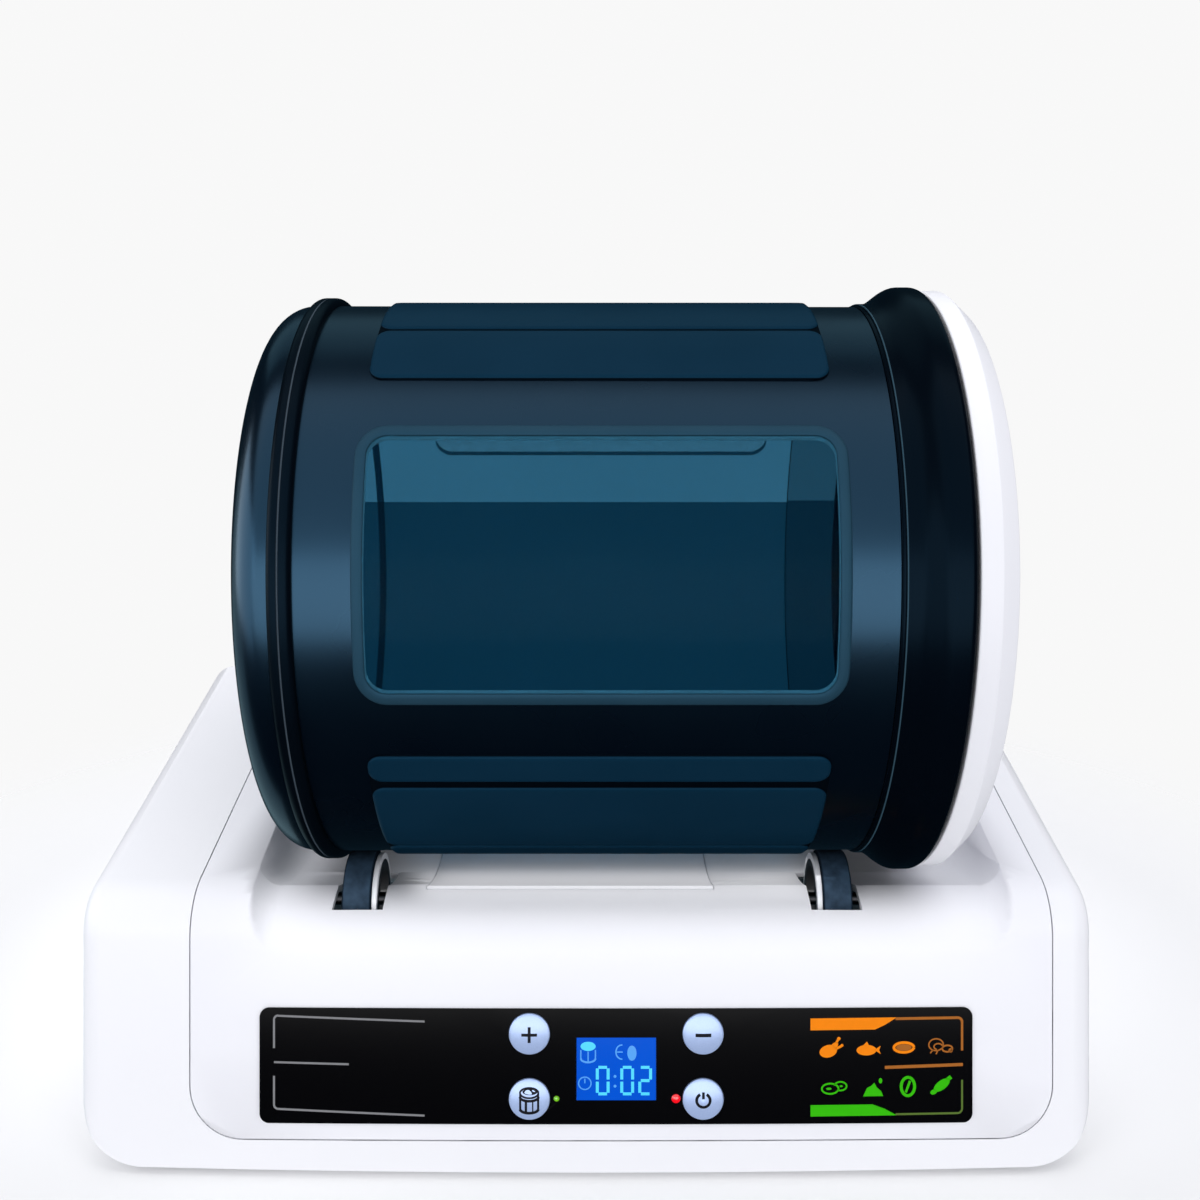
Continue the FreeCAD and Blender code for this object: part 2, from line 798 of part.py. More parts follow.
def frame_screw_spots():
    """Where the feet of the two axle frames are screwed down."""
    spots = []
    for x in (left_frame_x, right_frame_x):
        for step in (-1, 0, 1):
            spots.append((x - at.frame_foot / 2, at.drum_y + step * at.foot_pitch))
    return spots


def chassis():
    """The bottom plate with its posts, the feet, and every screw that holds the base together."""
    side, half_y, turn = half_width - at.plate_inset, at.plate_y, at.plate_round
    low = shell_low + at.shell_wall
    plate = pad("plate_sheet", "XY_Plane", [rounded_box_loop(-side, side, -half_y, half_y, turn, turn)],
                at.plate_thick, low)
    standoffs = []
    board_holes = []
    for side_x in (-1, 1):
        for side_y in (-1, 1):
            x = at.supply_x + side_x * at.supply_post_x
            y = at.supply_y * -1 + side_y * at.supply_post_y
            standoffs.append(cylinder("standoff", at.post_radius * 0.7, at.supply_lift, x, y, plate_top))
            board_holes.append((x, y))
    saddle_block = box("saddle_block", at.saddle_length, at.pump_radius * 2, at.pump_z - plate_top,
                       at.pump_x + at.pump_head + at.saddle_inset, at.pump_y - at.pump_radius, plate_top)
    saddle_round = rod_x("saddle_round", at.pump_radius + at.fit_gap / 3, at.saddle_length * 2,
                         at.pump_x + at.pump_head, at.pump_y, at.pump_z)
    saddle = cut("pump_saddle_solid", saddle_block, saddle_round)
    finish(saddle, "pump_saddle")
    holes = []
    for side_x, side_y in COVER_POSTS:
        x, y = post_spot(side_x, side_y)
        holes.append(cylinder("plate_hole", at.screw_radius + at.running_gap, REACH, x, y, 0.0))
        x, y = side_x * plate_screw_x, side_y * at.plate_screw_y
        standoffs.append(cylinder("screw_boss", at.boss_radius, at.boss_height, x, y, plate_top))
        holes.append(cylinder("boss_bore", at.thread_radius + at.running_gap,
                              at.plate_thick + at.boss_height - at.fit_gap * 3, x, y, low))
    for x, y in frame_screw_spots():
        holes.append(cylinder("foot_bore", at.thread_radius + at.running_gap, at.plate_thick, x, y, low))
    finish(cut("plate_solid", fuse("plate_with_posts", plate, *standoffs), *holes), "chassis_plate")

    feet = []
    for side_x in (-1, 1):
        for side_y in (-1, 1):
            outline = [(0.0, 0.0), (at.foot_radius - at.foot_round, 0.0),
                       (at.foot_radius, at.foot_round),
                       (at.foot_radius, at.foot_height), (0.0, at.foot_height)]
            foot = revolve("foot", "XZ_Plane", [outline], "V_Axis")
            feet.append(put(foot, side_x * (half_width - at.foot_inset), side_y * at.foot_y, 0.0))
    finish(group("feet_group", *feet), "rubber_feet")

    screws = []
    for side_x, side_y in COVER_POSTS:
        x, y = post_spot(side_x, side_y)
        head_z = low - at.head_thick
        head = cylinder("screw_head", at.screw_head, at.head_thick, x, y, head_z)
        shank = cylinder("screw_shank", at.screw_radius, at.plate_thick + at.screw_length - at.fit_gap * 3,
                         x, y, low)
        screws.append(fuse("cover_screw", head, shank))
    finish(group("cover_screw_group", *screws), "cover_screws")
    screws = []
    for side_x, side_y in COVER_POSTS:
        x, y = side_x * plate_screw_x, side_y * at.plate_screw_y
        head = cylinder("plate_screw_head", at.screw_head, at.head_thick, x, y, shell_low - at.head_thick)
        shank = cylinder("plate_screw_shank", at.thread_radius,
                         at.shell_wall + at.plate_thick + at.boss_height - at.fit_gap * 4, x, y, shell_low)
        screws.append(fuse("plate_screw", head, shank))
    finish(group("plate_screw_group", *screws), "plate_screws")
    screws = []
    for x, y in frame_screw_spots():
        top = plate_top + at.frame_thick
        head = cylinder("foot_screw_head", at.screw_head, at.head_thick, x, y, top)
        shank = cylinder("foot_screw_shank", at.thread_radius, at.frame_thick + at.plate_thick - at.fit_gap,
                         x, y, low + at.fit_gap)
        screws.append(fuse("foot_screw", head, shank))
    finish(group("foot_screw_group", *screws), "frame_screws")


def drive_frames():
    """Two upright plates outside the cradle's ends that carry both axles in bushes."""
    low_y = front_axle_y - at.frame_ear
    high_y = rear_axle_y + at.frame_ear
    top = axle_z + at.frame_ear
    bush_hole = at.bush_radius + at.running_gap
    for name, x, foot_side in (("left_axle_frame", left_frame_x, -1), ("right_axle_frame", right_frame_x, -1)):
        loops = [rounded_box_loop(low_y, high_y, plate_top, top, None, at.frame_ear * 0.95)]
        loops += [[(y, axle_z, bush_hole)] for y in (front_axle_y, rear_axle_y)]
        for step in (-1, 0, 1):
            hole_y = (front_axle_y + rear_axle_y) / 2 + step * at.frame_pitch
            if name == "left_axle_frame" or step < 1:
                loops.append([(hole_y, at.frame_hole_z, at.frame_hole)])
        if name == "right_axle_frame":
            loops.append([(rear_axle_y, pinion_z, at.shaft_radius + at.fit_gap)])
        upright = pad(name + "_upright", "YZ_Plane", loops, at.frame_thick, x)
        foot = box(name + "_foot", at.frame_foot, high_y - low_y, at.frame_thick,
                   x - at.frame_foot, low_y, plate_top)
        bores = [cylinder(name + "_bore", at.thread_radius + at.running_gap, REACH, spot_x, spot_y, 0.0)
                 for spot_x, spot_y in frame_screw_spots()]
        finish(cut(name + "_solid", fuse(name + "_joined", upright, foot), *bores), name)
    bushes = []
    for x, way in ((left_frame_x, 1), (right_frame_x, -1)):
        for y in (front_axle_y, rear_axle_y):
            length = at.frame_thick + at.bush_head
            bore = at.axle_radius + at.running_gap
            outline = [(0.0, bore), (length, bore), (length, at.bush_radius),
                       (at.bush_head, at.bush_radius), (at.bush_head, at.bush_flange),
                       (0.0, at.bush_flange)]
            bush = revolve("bush", "XZ_Plane", [outline])
            if way > 0:
                put(bush, x - at.bush_head, y, axle_z)
            else:
                put(bush, x + at.frame_thick + at.bush_head, y, axle_z, (0, 0, 1), 180)
            bushes.append(bush)
    finish(group("bush_group", *bushes), "axle_bushes")


def wheels():
    """Rubber-tyred wheels on two steel axles. Each hub has a lip and a dish on its inner side."""
    rim = at.wheel_radius - at.tyre_depth
    half = at.tyre_width / 2
    for name, outer_x, way, axle_y in wheel_places():
        width = at.tyre_width + at.hub_lip
        bore = at.axle_radius + at.running_gap / 5
        hub_loop = [
            (0.0, bore),
            (width - at.dish_depth, bore),
            (width - at.dish_depth, at.hub_dish - at.dish_round),
            (width - at.dish_depth + at.dish_round, at.hub_dish),
            (width, at.hub_dish),
            (width, at.wheel_radius - at.lip_step),
            (at.tyre_width, at.wheel_radius - at.lip_step),
            (at.tyre_width, rim),
            (0.0, rim),
        ]
        hub = revolve(name + "_hub_solid", "XZ_Plane", [hub_loop])
        crown = at.tyre_crown
        tyre_loop = [
            (0.0, rim + at.running_gap / 5),
            (at.tyre_width - at.running_gap, rim + at.running_gap / 5),
            (at.tyre_width - at.running_gap, at.wheel_radius - crown),
            (at.tyre_width - at.running_gap - crown, at.wheel_radius),
            (crown, at.wheel_radius),
            (0.0, at.wheel_radius - crown),
        ]
        tyre = revolve(name + "_tyre_solid", "XZ_Plane", [tyre_loop])
        for piece, label in ((hub, name + "_hub"), (tyre, name + "_tyre")):
            if way > 0:
                put(piece, outer_x, axle_y, axle_z)
            else:
                put(piece, outer_x, axle_y, axle_z, (0, 0, 1), 180)
            finish(piece, label)
    left_end = left_frame_x - at.bush_head - at.end_float - at.clip_thick - at.axle_tail
    right_end = gear_x + at.gear_width
    for row, axle_y in (("front", front_axle_y), ("rear", rear_axle_y)):
        tail = right_end if row == "rear" else right_frame_x + at.frame_thick + at.bush_head + at.end_float \
            + at.clip_thick + at.axle_tail
        axle = rod_x(row + "_axle_rod", at.axle_radius, tail - left_end, left_end, axle_y, axle_z)
        finish(axle, row + "_axle")
        clips = []
        for x in (left_frame_x - at.bush_head - at.end_float - at.clip_thick,
                  right_frame_x + at.frame_thick + at.bush_head + at.end_float):
            ring = rod_x("clip_ring", at.clip_radius, at.clip_thick, x, axle_y, axle_z)
            bore = rod_x("clip_bore", at.axle_radius, at.clip_thick, x, axle_y, axle_z)
            clips.append(cut("clip", ring, bore))
        finish(group(row + "_clip_group", *clips), row + "_axle_clips")


def toothed_wheel(name, bore, turn):
    """A spur gear about X: a root disc and one tooth, patterned around it."""
    body = new_body(name)
    module = at.gear_module
    root_radius = pitch_radius - module * 1.25
    pad_in(body, "YZ_Plane", [[(0.0, 0.0, root_radius)], [(0.0, 0.0, bore)]], at.gear_width)
    tip = pitch_radius + module
    foot = root_radius - module / 2
    tooth_loop = [
        (module * -0.95, foot),
        (module * 0.95, foot),
        (module * 0.95, root_radius),
        (module * 0.58, pitch_radius, module * 6),
        (module * 0.26, tip, module * 5),
        (module * -0.26, tip),
        (module * -0.58, pitch_radius, module * 5),
        (module * -0.95, root_radius, module * 6),
    ]
    tooth = pad_in(body, "YZ_Plane", [tooth_loop], at.gear_width)
    doc.recompute()
    ring = body.newObject("PartDesign::PolarPattern", name + "_teeth")
    ring.Originals = [tooth]
    axis = [item for item in body.Origin.OriginFeatures if item.Role == "X_Axis"][0]
    ring.Axis = (axis, [""])
    ring.Angle = 360
    ring.Occurrences = int(SIZES["gear_teeth"])
    bind(ring, "Occurrences", at.gear_teeth)
    body.Tip = ring
    return body


def drive():
    """The gearmotor on the right frame, its pinion, and the gear on the rear axle."""
    gear = toothed_wheel("axle_gear_solid", at.axle_radius + at.running_gap / 5, 0.0)
    finish(put(gear, gear_x, rear_axle_y, axle_z), "axle_gear")
    bore_depth = at.shaft_grip
    pinion = toothed_wheel("pinion_solid", at.shaft_radius, 0.0)
    put(pinion, gear_x, rear_axle_y, pinion_z, (1, 0, 0), 180.0 / SIZES["gear_teeth"])
    shaft = rod_x("pinion_shaft", at.shaft_radius, gear_x + at.gear_width - right_frame_x + bore_depth,
                  right_frame_x - bore_depth, rear_axle_y, pinion_z)
    finish(fuse("pinion_with_shaft", pinion, shaft), "drive_pinion")
    side = at.gearbox_side
    gearbox = box("gearbox", at.gearbox_length, side, side, right_frame_x - at.gearbox_length,
                  rear_axle_y - side / 2, pinion_z - side / 2)
    can = rod_x("motor_can", at.motor_radius - at.can_step, at.motor_length, right_frame_x - at.gearbox_length
                - at.motor_length, rear_axle_y, pinion_z)
    end_boss = rod_x("motor_boss", at.shaft_radius * 2, at.can_step * 2, right_frame_x - at.gearbox_length
                     - at.motor_length - at.can_step * 2, rear_axle_y, pinion_z)
    bore = rod_x("motor_bore", at.shaft_radius + at.running_gap, bore_depth + at.fit_gap,
                 right_frame_x - bore_depth - at.fit_gap, rear_axle_y, pinion_z)
    finish(cut("gearmotor_solid", fuse("motor_block", gearbox, can, end_boss), bore), "gearmotor")


def vacuum_parts():
    """The vacuum pump on its saddle, and the tube from it to the port in the back wall."""
    head = box("pump_head_block", at.pump_head, at.pump_head, at.pump_head, at.pump_x,
               at.pump_y - at.pump_head / 2, at.pump_z - at.pump_head / 2)
    can = rod_x("pump_can", at.pump_radius, at.pump_length, at.pump_x + at.pump_head, at.pump_y, at.pump_z)
    nozzle = rod_x("pump_nozzle", at.tube_bore - at.running_gap, at.nozzle_length * 2,
                   at.pump_x - at.nozzle_length, at.pump_y, at.pump_z)
    finish(fuse("pump_solid", head, can, nozzle), "vacuum_pump")

    bend = at.tube_bend
    turn_x = at.port_x * -1
    start_x = at.pump_x
    end_y = at.back_reach - at.shell_wall - at.port_step

    def tube(name, radius):
        first = rod_x(name + "_run", radius, start_x - turn_x - bend, turn_x + bend, at.pump_y, at.pump_z)
        ring = revolve(name + "_bend", "XZ_Plane", [[(bend, 0.0, radius)]], "V_Axis")
        put(ring, turn_x + bend, at.pump_y + bend, at.pump_z)
        corner = box(name + "_quarter", bend + REACH, bend + REACH, REACH, turn_x - REACH, at.pump_y - REACH,
                     at.pump_z - REACH / 2)
        elbow = common(name + "_elbow", ring, corner)
        last = cylinder(name + "_rise", radius, end_y - at.pump_y - bend, turn_x, end_y, at.pump_z,
                        (1, 0, 0), 90)
        return fuse(name, first, elbow, last)

    finish(cut("tube_solid", tube("tube_outside", at.tube_radius), tube("tube_inside", at.tube_bore)),
           "vacuum_tube")
    inner_y = end_y - at.nozzle_length
    wall_in = at.back_reach - at.shell_wall
    outline = [
        (0.0, inner_y),
        (at.tube_bore - at.running_gap, inner_y),
        (at.tube_bore - at.running_gap, end_y),
        (at.port_flange, end_y),
        (at.port_flange, wall_in),
        (at.port_flange - at.port_step, wall_in),
        (at.port_flange - at.port_step, at.back_reach),
        (at.port_radius, at.back_reach),
        (at.port_radius, at.back_reach + at.port_length),
        (0.0, at.back_reach + at.port_length),
    ]
    port = revolve("port_solid_turn", "XY_Plane", [outline], "V_Axis")
    put(port, turn_x, 0.0, at.port_z)
    bore = cylinder("port_bore", at.tube_bore / 2, FAR, turn_x, FAR / 2, at.port_z, (1, 0, 0), 90)
    finish(cut("port_solid", port, bore), "vacuum_port")


def power_parts():
    """The mains inlet in the back wall and the supply board on its posts."""
    wide, tall = at.inlet_width, at.inlet_height
    x, z = at.inlet_x, at.inlet_z
    back = at.back_reach
    flange = box("inlet_flange", wide + at.inlet_rim * 2, at.inlet_lip, tall + at.inlet_rim * 2,
                 x - wide / 2 - at.inlet_rim, back, z - tall / 2 - at.inlet_rim)
    barrel = box("inlet_body", wide, at.inlet_depth, tall, x - wide / 2, back - at.inlet_depth, z - tall / 2)
    room = at.pin_room
    stadium = [
        (at.pin_side * -1, room * -1, room),
        (at.pin_side, room * -1),
        (at.pin_side + room, 0.0, room),
        (at.pin_side, room, room),
        (at.pin_side * -1, room),
        (at.pin_side * -1 - room, 0.0, room),
    ]
    pocket = pad("inlet_pocket", "XZ_Plane", [stadium], at.pin_length + REACH, -REACH)
    put(pocket, x, back, z)
    pins = [cylinder("inlet_pin", at.pin_radius, at.pin_length + at.fit_gap, x + side * at.pin_side,
                     back - at.fit_gap, z, (1, 0, 0), 90) for side in (-1, 1)]
    finish(fuse("inlet_solid", cut("inlet_hollow", fuse("inlet_block", flange, barrel), pocket), *pins),
           "power_inlet")
    deck_z = plate_top + at.supply_lift
    board = box("supply_sheet", at.supply_length, at.supply_depth, at.board_thick,
                at.supply_x - at.supply_length / 2, -at.supply_y - at.supply_depth / 2, deck_z)
    top = deck_z + at.board_thick
    coil = box("supply_coil", at.coil_side, at.coil_side * 0.8, at.coil_side * 0.7,
               at.supply_x - at.supply_length / 3, -at.supply_y - at.coil_side / 2, top)
    can = cylinder("supply_can", at.coil_side / 5, at.coil_side * 0.7, at.supply_x + at.supply_length / 4,
                   -at.supply_y, top)
    relay = box("supply_relay", at.coil_side / 2, at.coil_side / 2, at.coil_side / 2, at.supply_x,
                -at.supply_y - at.coil_side / 3, top)
    finish(fuse("supply_solid", board, coil, can, relay), "power_board")


def panel():
    """The glossy panel on the front face, with its buttons, lamps, screen and board."""
    half = at.panel_width / 2
    high = at.panel_low + at.panel_height
    outline = rounded_box_loop(-half, half, at.panel_low, high, at.panel_round, at.panel_round)
    sheet_strip = face_strip("panel_strip", at.panel_low - REACH / 6, high + REACH / 6, 0.0, at.panel_thick)
    edge = face_prism("panel_edge", [outline], -REACH, sized(REACH))
    holes = control_holes("panel_holes", sized(-REACH), sized(REACH))
    finish(cut("panel_solid", common("panel_sheet", sheet_strip, edge), holes), "front_panel")

    half_x = at.screen_width / 2
    low = at.screen_v - at.screen_height / 2
    top = at.screen_v + at.screen_height / 2
    window = rounded_box_loop(-half_x, half_x, low, top, None, None)
    lens = face_prism("lens_block", [window], at.shell_wall * -1 - at.lamp_gap, at.panel_thick - at.lamp_gap)
    finish(lens, "display_lens")
    frame = at.screen_frame
    module_loop = rounded_box_loop(-half_x - frame, half_x + frame, low - frame, top + frame, None, None)
    module_top = at.shell_wall * -1 - at.lamp_gap * 3
    module = face_prism("lcd_block", [module_loop], at.board_depth * -1, module_top)
    finish(module, "lcd_module")

    board_x = at.board_width / 2
    board_v = at.board_height / 2
    loops = [rounded_box_loop(-board_x, board_x, at.board_v - board_v, at.board_v + board_v, None, None)]
    for side_x, side_v in BOARD_POSTS:
        loops.append([(side_x * at.board_post_x, at.board_v + side_v * at.board_post_v,
                       at.thread_radius + at.running_gap)])
    board_low = at.board_depth * -1 - at.board_thick
    finish(face_prism("board_sheet", loops, board_low, at.board_depth * -1), "control_board")

    screws = []
    for side_x, side_v in BOARD_POSTS:
        x = side_x * at.board_post_x
        v = at.board_v + side_v * at.board_post_v
        head = face_prism("board_screw_head", [[(x, v, at.screw_head * 0.8)]], board_low - at.head_thick,
                          board_low)
        shank = face_prism("board_screw_shank", [[(x, v, at.thread_radius)]], board_low,
                           board_low + at.board_thick + at.thread_length - at.fit_gap)
        screws.append(fuse("board_screw", head, shank))
    finish(group("board_screw_group", *screws), "board_screws")

    switches = []
    for _, x, v in BUTTONS:
        half = at.switch_side / 2
        body = face_prism("switch_body", [rounded_box_loop(x - half, x + half, v - half, v + half, None, None)],
                          at.board_depth * -1, at.board_depth * -1 + at.switch_height)
        plunger = face_prism("switch_plunger", [[(x, v, at.switch_side / 4)]], at.board_depth * -1,
                             at.board_depth * -1 + at.switch_height + at.plunger_rise)
        switches.append(fuse("switch", body, plunger))
    finish(group("switch_group", *switches), "tact_switches")

    for name, x, v, radius in LAMPS:
        dome = at.lamp_dome
        curve = (radius * radius + dome * dome) / (dome * 2)
        rim = at.panel_thick
        outline = [
            (0.0, at.board_depth * -1),
            (at.lamp_stem, at.board_depth * -1),
            (at.lamp_stem, at.lamp_head * -1),
            (radius, at.lamp_head * -1),
            (radius, rim),
            (0.0, rim + dome, curve),
        ]
        lamp = revolve(name + "_turn", "XZ_Plane", [outline], "V_Axis")
        finish(on_face(lamp, at.panel_x + x, v, sized(0.0)), name)

    for name, x, v in BUTTONS:
        flange_top = at.shell_wall * -1 - at.fit_gap
        flange_low = flange_top - at.button_flange
        stem_low = at.board_depth * -1 + at.switch_height + at.plunger_rise + at.button_travel + at.fit_gap
        rim = at.panel_thick + at.button_rise - at.button_dome
        radius = at.button_radius
        curve = (radius * radius + at.button_dome * at.button_dome) / (at.button_dome * 2)
        outline = [
            (0.0, stem_low),
            (at.switch_side / 3, stem_low),
            (at.switch_side / 3, flange_low),
            (radius + at.button_flange, flange_low),
            (radius + at.button_flange, flange_top),
            (radius, flange_top),
            (radius, rim),
            (0.0, rim + at.button_dome, curve),
        ]
        button = revolve(name + "_turn", "XZ_Plane", [outline], "V_Axis")
        finish(on_face(button, at.panel_x + x, v, sized(0.0)), name)


def drum():
    """The smoked drum: barrel with windows and grip pads, domed end, and flared mouth."""
    outside = at.barrel_radius
    inside = outside - at.barrel_wall
    left = -at.barrel_left
    right = left + at.barrel_length
    crest = outside + at.bead_rise
    half_bead = at.bead_width / 2
    tube_loop = [
        (left, inside),
        (right, inside),
        (right, outside),
        (left + half_bead, outside),
        (left + half_bead - at.bead_rise, crest, at.bead_rise),
        (left, crest),
    ]
    tube = revolve("barrel_tube", "XZ_Plane", [tube_loop])
    turns = [90.0 - SIZES["window_turn"] + 120.0 * step for step in range(3)]
    half_frame = outside * sine(at.window_angle / 2)
    line = at.window_line
    x1 = -at.window_left
    x2 = x1 + at.window_length
    frame_loops = [
        rounded_box_loop(x1, x2, -half_frame, half_frame, at.window_round, at.window_round),
        rounded_box_loop(x1 + line, x2 - line, line - half_frame, half_frame - line,
                         at.window_round - line, at.window_round - line),
    ]
    frames = []
    for turn in turns:
        ring = pad("window_ring", "XY_Plane", frame_loops, FAR / 2)
        frames.append(put(ring, axis=(1, 0, 0), angle=turn))
    half_pad = outside * sine(at.pad_angle / 2)
    px1 = -at.pad_left
    px2 = px1 + at.pad_length
    groove = outside * sine(at.pad_angle / 2 - at.pad_step)
    half_groove = at.pad_groove / 2
    pad_loops = [rounded_box_loop(px1, px2, -half_pad, half_pad, at.pad_corner, at.pad_corner)]
    for side in (-1, 1):
        low = side * groove - half_groove
        pad_loops.append(rounded_box_loop(px1 + at.pad_groove * 2, px2 - at.pad_groove * 2, low,
                                          low + at.pad_groove, None, None))
    pads = []
    for turn in turns:
        block = pad("grip_block", "XY_Plane", pad_loops, FAR / 2)
        pads.append(put(block, axis=(1, 0, 0), angle=turn + 60.0))

    def layer(name, rise):
        root_depth = at.barrel_wall / 2
        loop = [(left, outside - root_depth), (right, outside - root_depth), (right, outside + rise),
                (left, outside + rise)]
        return revolve(name, "XZ_Plane", [loop])

    frame_rings = common("window_frames", layer("frame_layer", at.frame_rise), fuse("rings", *frames))
    grip_pads = common("grip_pads", layer("pad_layer", at.pad_rise), fuse("blocks", *pads))
    barrel = fuse("barrel_solid", tube, frame_rings, grip_pads)
    finish(put(barrel, 0.0, at.drum_y, at.drum_z), "drum_barrel")

    seam = left - at.weld_gap
    end = seam - at.cap_depth
    turn = at.cap_round
    flat = outside - turn
    crown = at.cap_crown
    wall = at.barrel_wall
    cap_loop = [
        (end - crown + wall, 0.0),
        (end + wall, flat),
        (end + turn, inside, wall - turn),
        (seam, inside),
        (seam, crest),
        (seam - half_bead + at.bead_rise, crest),
        (seam - half_bead, outside, at.bead_rise),
        (end + turn, outside),
        (end, flat, turn),
        (end - crown, 0.0),
    ]
    finish(put(revolve("cap_solid", "XZ_Plane", [cap_loop]), 0.0, at.drum_y, at.drum_z), "drum_end_cap")

    mouth = right + at.weld_gap
    face = mouth + at.collar_length
    top = outside + at.collar_rise
    neck = outside + at.neck_rise
    run = at.collar_length - at.collar_lip - at.collar_crest - at.collar_neck
    climb = top - neck
    sweep = (run * run + climb * climb) / (climb * 4)
    bore = inside - at.spigot_wall - at.weld_gap
    collar_loop = [
        (mouth - at.spigot_length, bore),
        (face, bore),
        (face, top - at.collar_lip),
        (face - at.collar_lip, top, at.collar_lip),
        (face - at.collar_lip - at.collar_crest, top),
        (mouth + at.collar_neck + run / 2, neck + climb / 2, sweep),
        (mouth + at.collar_neck, neck, sweep * -1),
        (mouth, neck),
        (mouth, inside - at.weld_gap),
        (mouth - at.spigot_length, inside - at.weld_gap),
    ]
    finish(put(revolve("collar_solid", "XZ_Plane", [collar_loop]), 0.0, at.drum_y, at.drum_z),
           "mouth_collar")
    return face, bore


def lid(face, bore):
    """The white lid with its plug, gasket and the pull knob of its vacuum valve."""
    near = face + at.lid_gap
    front = near + at.lid_depth
    inner_face = front - at.lid_wall
    plug = bore - at.plug_gap
    low, high = at.gasket_inner, at.gasket_inner + at.gasket_wide
    groove = at.gasket_thick - at.lid_gap * 0.75
    seat = at.seat_radius
    bevel = at.lid_bevel
    outline = [
        (inner_face, at.knob_stem + at.running_gap),
        (inner_face, plug - at.lid_wall),
        (near - at.plug_depth, plug - at.lid_wall),
        (near - at.plug_depth, plug),
        (near, plug),
        (near, low),
        (near + groove, low),
        (near + groove, high),
        (near, high),
        (near, at.lid_radius),
        (near + at.lid_edge, at.lid_radius),
        (front - bevel, at.lid_face + bevel),
        (front, at.lid_face - bevel),
        (front, seat),
        (front - at.seat_depth, seat - at.seat_depth),
        (front - at.seat_depth, at.knob_stem + at.running_gap),
    ]
    finish(put(revolve("lid_solid", "XZ_Plane", [outline]), 0.0, at.drum_y, at.drum_z), "lid")
    slack = at.running_gap
    gasket_loop = [
        (near + groove - at.gasket_thick, low + slack),
        (near + groove - slack / 5, low + slack),
        (near + groove - slack / 5, high - slack),
        (near + groove - at.gasket_thick, high - slack),
    ]
    finish(put(revolve("gasket_solid", "XZ_Plane", [gasket_loop]), 0.0, at.drum_y, at.drum_z), "lid_gasket")
    floor = front - at.seat_depth
    back = inner_face - at.knob_travel - at.fit_gap
    knob = at.knob_radius
    neck = at.knob_neck
    edge = at.knob_edge
    knob_loop = [
        (back - at.seal_thick, 0.0),
        (floor + at.fit_gap + at.knob_height, 0.0),
        (floor + at.fit_gap + at.knob_height, knob - edge),
        (floor + at.fit_gap + at.knob_height - edge, knob),
        (floor + at.fit_gap + at.knob_height - edge * 2, knob),
        (floor + at.fit_gap + neck, knob - neck),
        (floor + at.fit_gap, knob - neck),
        (floor + at.fit_gap, at.knob_stem),
        (back, at.knob_stem),
        (back, at.knob_seal),
        (back - at.seal_thick, at.knob_seal),
    ]
    finish(put(revolve("knob_solid", "XZ_Plane", [knob_loop]), 0.0, at.drum_y, at.drum_z), "valve_knob")


def check_and_write():
    """Refuses a failed or broken object, then writes one file for each finished piece."""
    doc.recompute()
    for thing in doc.Objects:
        if "Invalid" in thing.State or "Error" in thing.State:
            raise RuntimeError("%s did not build: %s" % (thing.Name, thing.State))
    os.makedirs("parts", exist_ok=True)
    for piece in finished:
        if piece.Shape.isNull() or not piece.Shape.isValid() or not piece.Shape.Solids:
            raise RuntimeError("%s has no sound solid" % piece.Label)
    for piece in finished:
        piece.Shape.exportStep("parts/%s.step" % piece.Label)
        print("%-20s %d solid(s), %.0f mm3" % (piece.Label, len(piece.Shape.Solids), piece.Shape.Volume))


housing()
chassis()
drive_frames()
wheels()
drive()
vacuum_parts()
power_parts()
panel()
lid(*drum())
check_and_write()
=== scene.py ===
import math

import bmesh
import bpy
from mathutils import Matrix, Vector


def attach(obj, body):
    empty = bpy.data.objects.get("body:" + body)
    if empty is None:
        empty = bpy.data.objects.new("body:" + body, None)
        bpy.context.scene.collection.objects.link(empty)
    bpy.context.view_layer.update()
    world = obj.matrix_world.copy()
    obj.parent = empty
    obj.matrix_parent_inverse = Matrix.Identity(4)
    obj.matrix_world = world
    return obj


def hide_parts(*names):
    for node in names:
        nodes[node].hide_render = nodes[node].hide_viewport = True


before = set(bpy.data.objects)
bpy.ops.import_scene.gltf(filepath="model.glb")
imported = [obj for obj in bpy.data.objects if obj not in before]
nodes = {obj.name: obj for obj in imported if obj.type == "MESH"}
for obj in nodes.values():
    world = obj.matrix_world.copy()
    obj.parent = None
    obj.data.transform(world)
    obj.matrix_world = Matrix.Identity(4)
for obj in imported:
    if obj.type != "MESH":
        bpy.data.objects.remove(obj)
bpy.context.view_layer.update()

# Camera, worktop and light.
# The machine stands on a pale seamless sheet under large soft lamps, and the
# camera looks down on it as the panel faces it.

# Sizes and places are in millimetres of the machine's own frame, and MM makes
# them metres. Only the lamps and the fine relief of surfaces are given in metres.
MM = 0.001
LOOK_DOWN = 23.9
EYE = (5.2, -476.55, 392.6)
FILM_WIDTH = 36.0
FOCAL_LENGTH = 39.18

camera = bpy.data.objects.new("camera", bpy.data.cameras.new("camera"))
camera.data.sensor_width = FILM_WIDTH
camera.data.lens = FOCAL_LENGTH
camera.location = [value * MM for value in EYE]
camera.rotation_euler = (math.radians(90.0 - LOOK_DOWN), 0.0, 0.0)
camera.data.clip_start = 10.0 * MM
bpy.context.scene.collection.objects.link(camera)
bpy.context.scene.camera = camera
bpy.context.scene.view_settings.view_transform = "Standard"


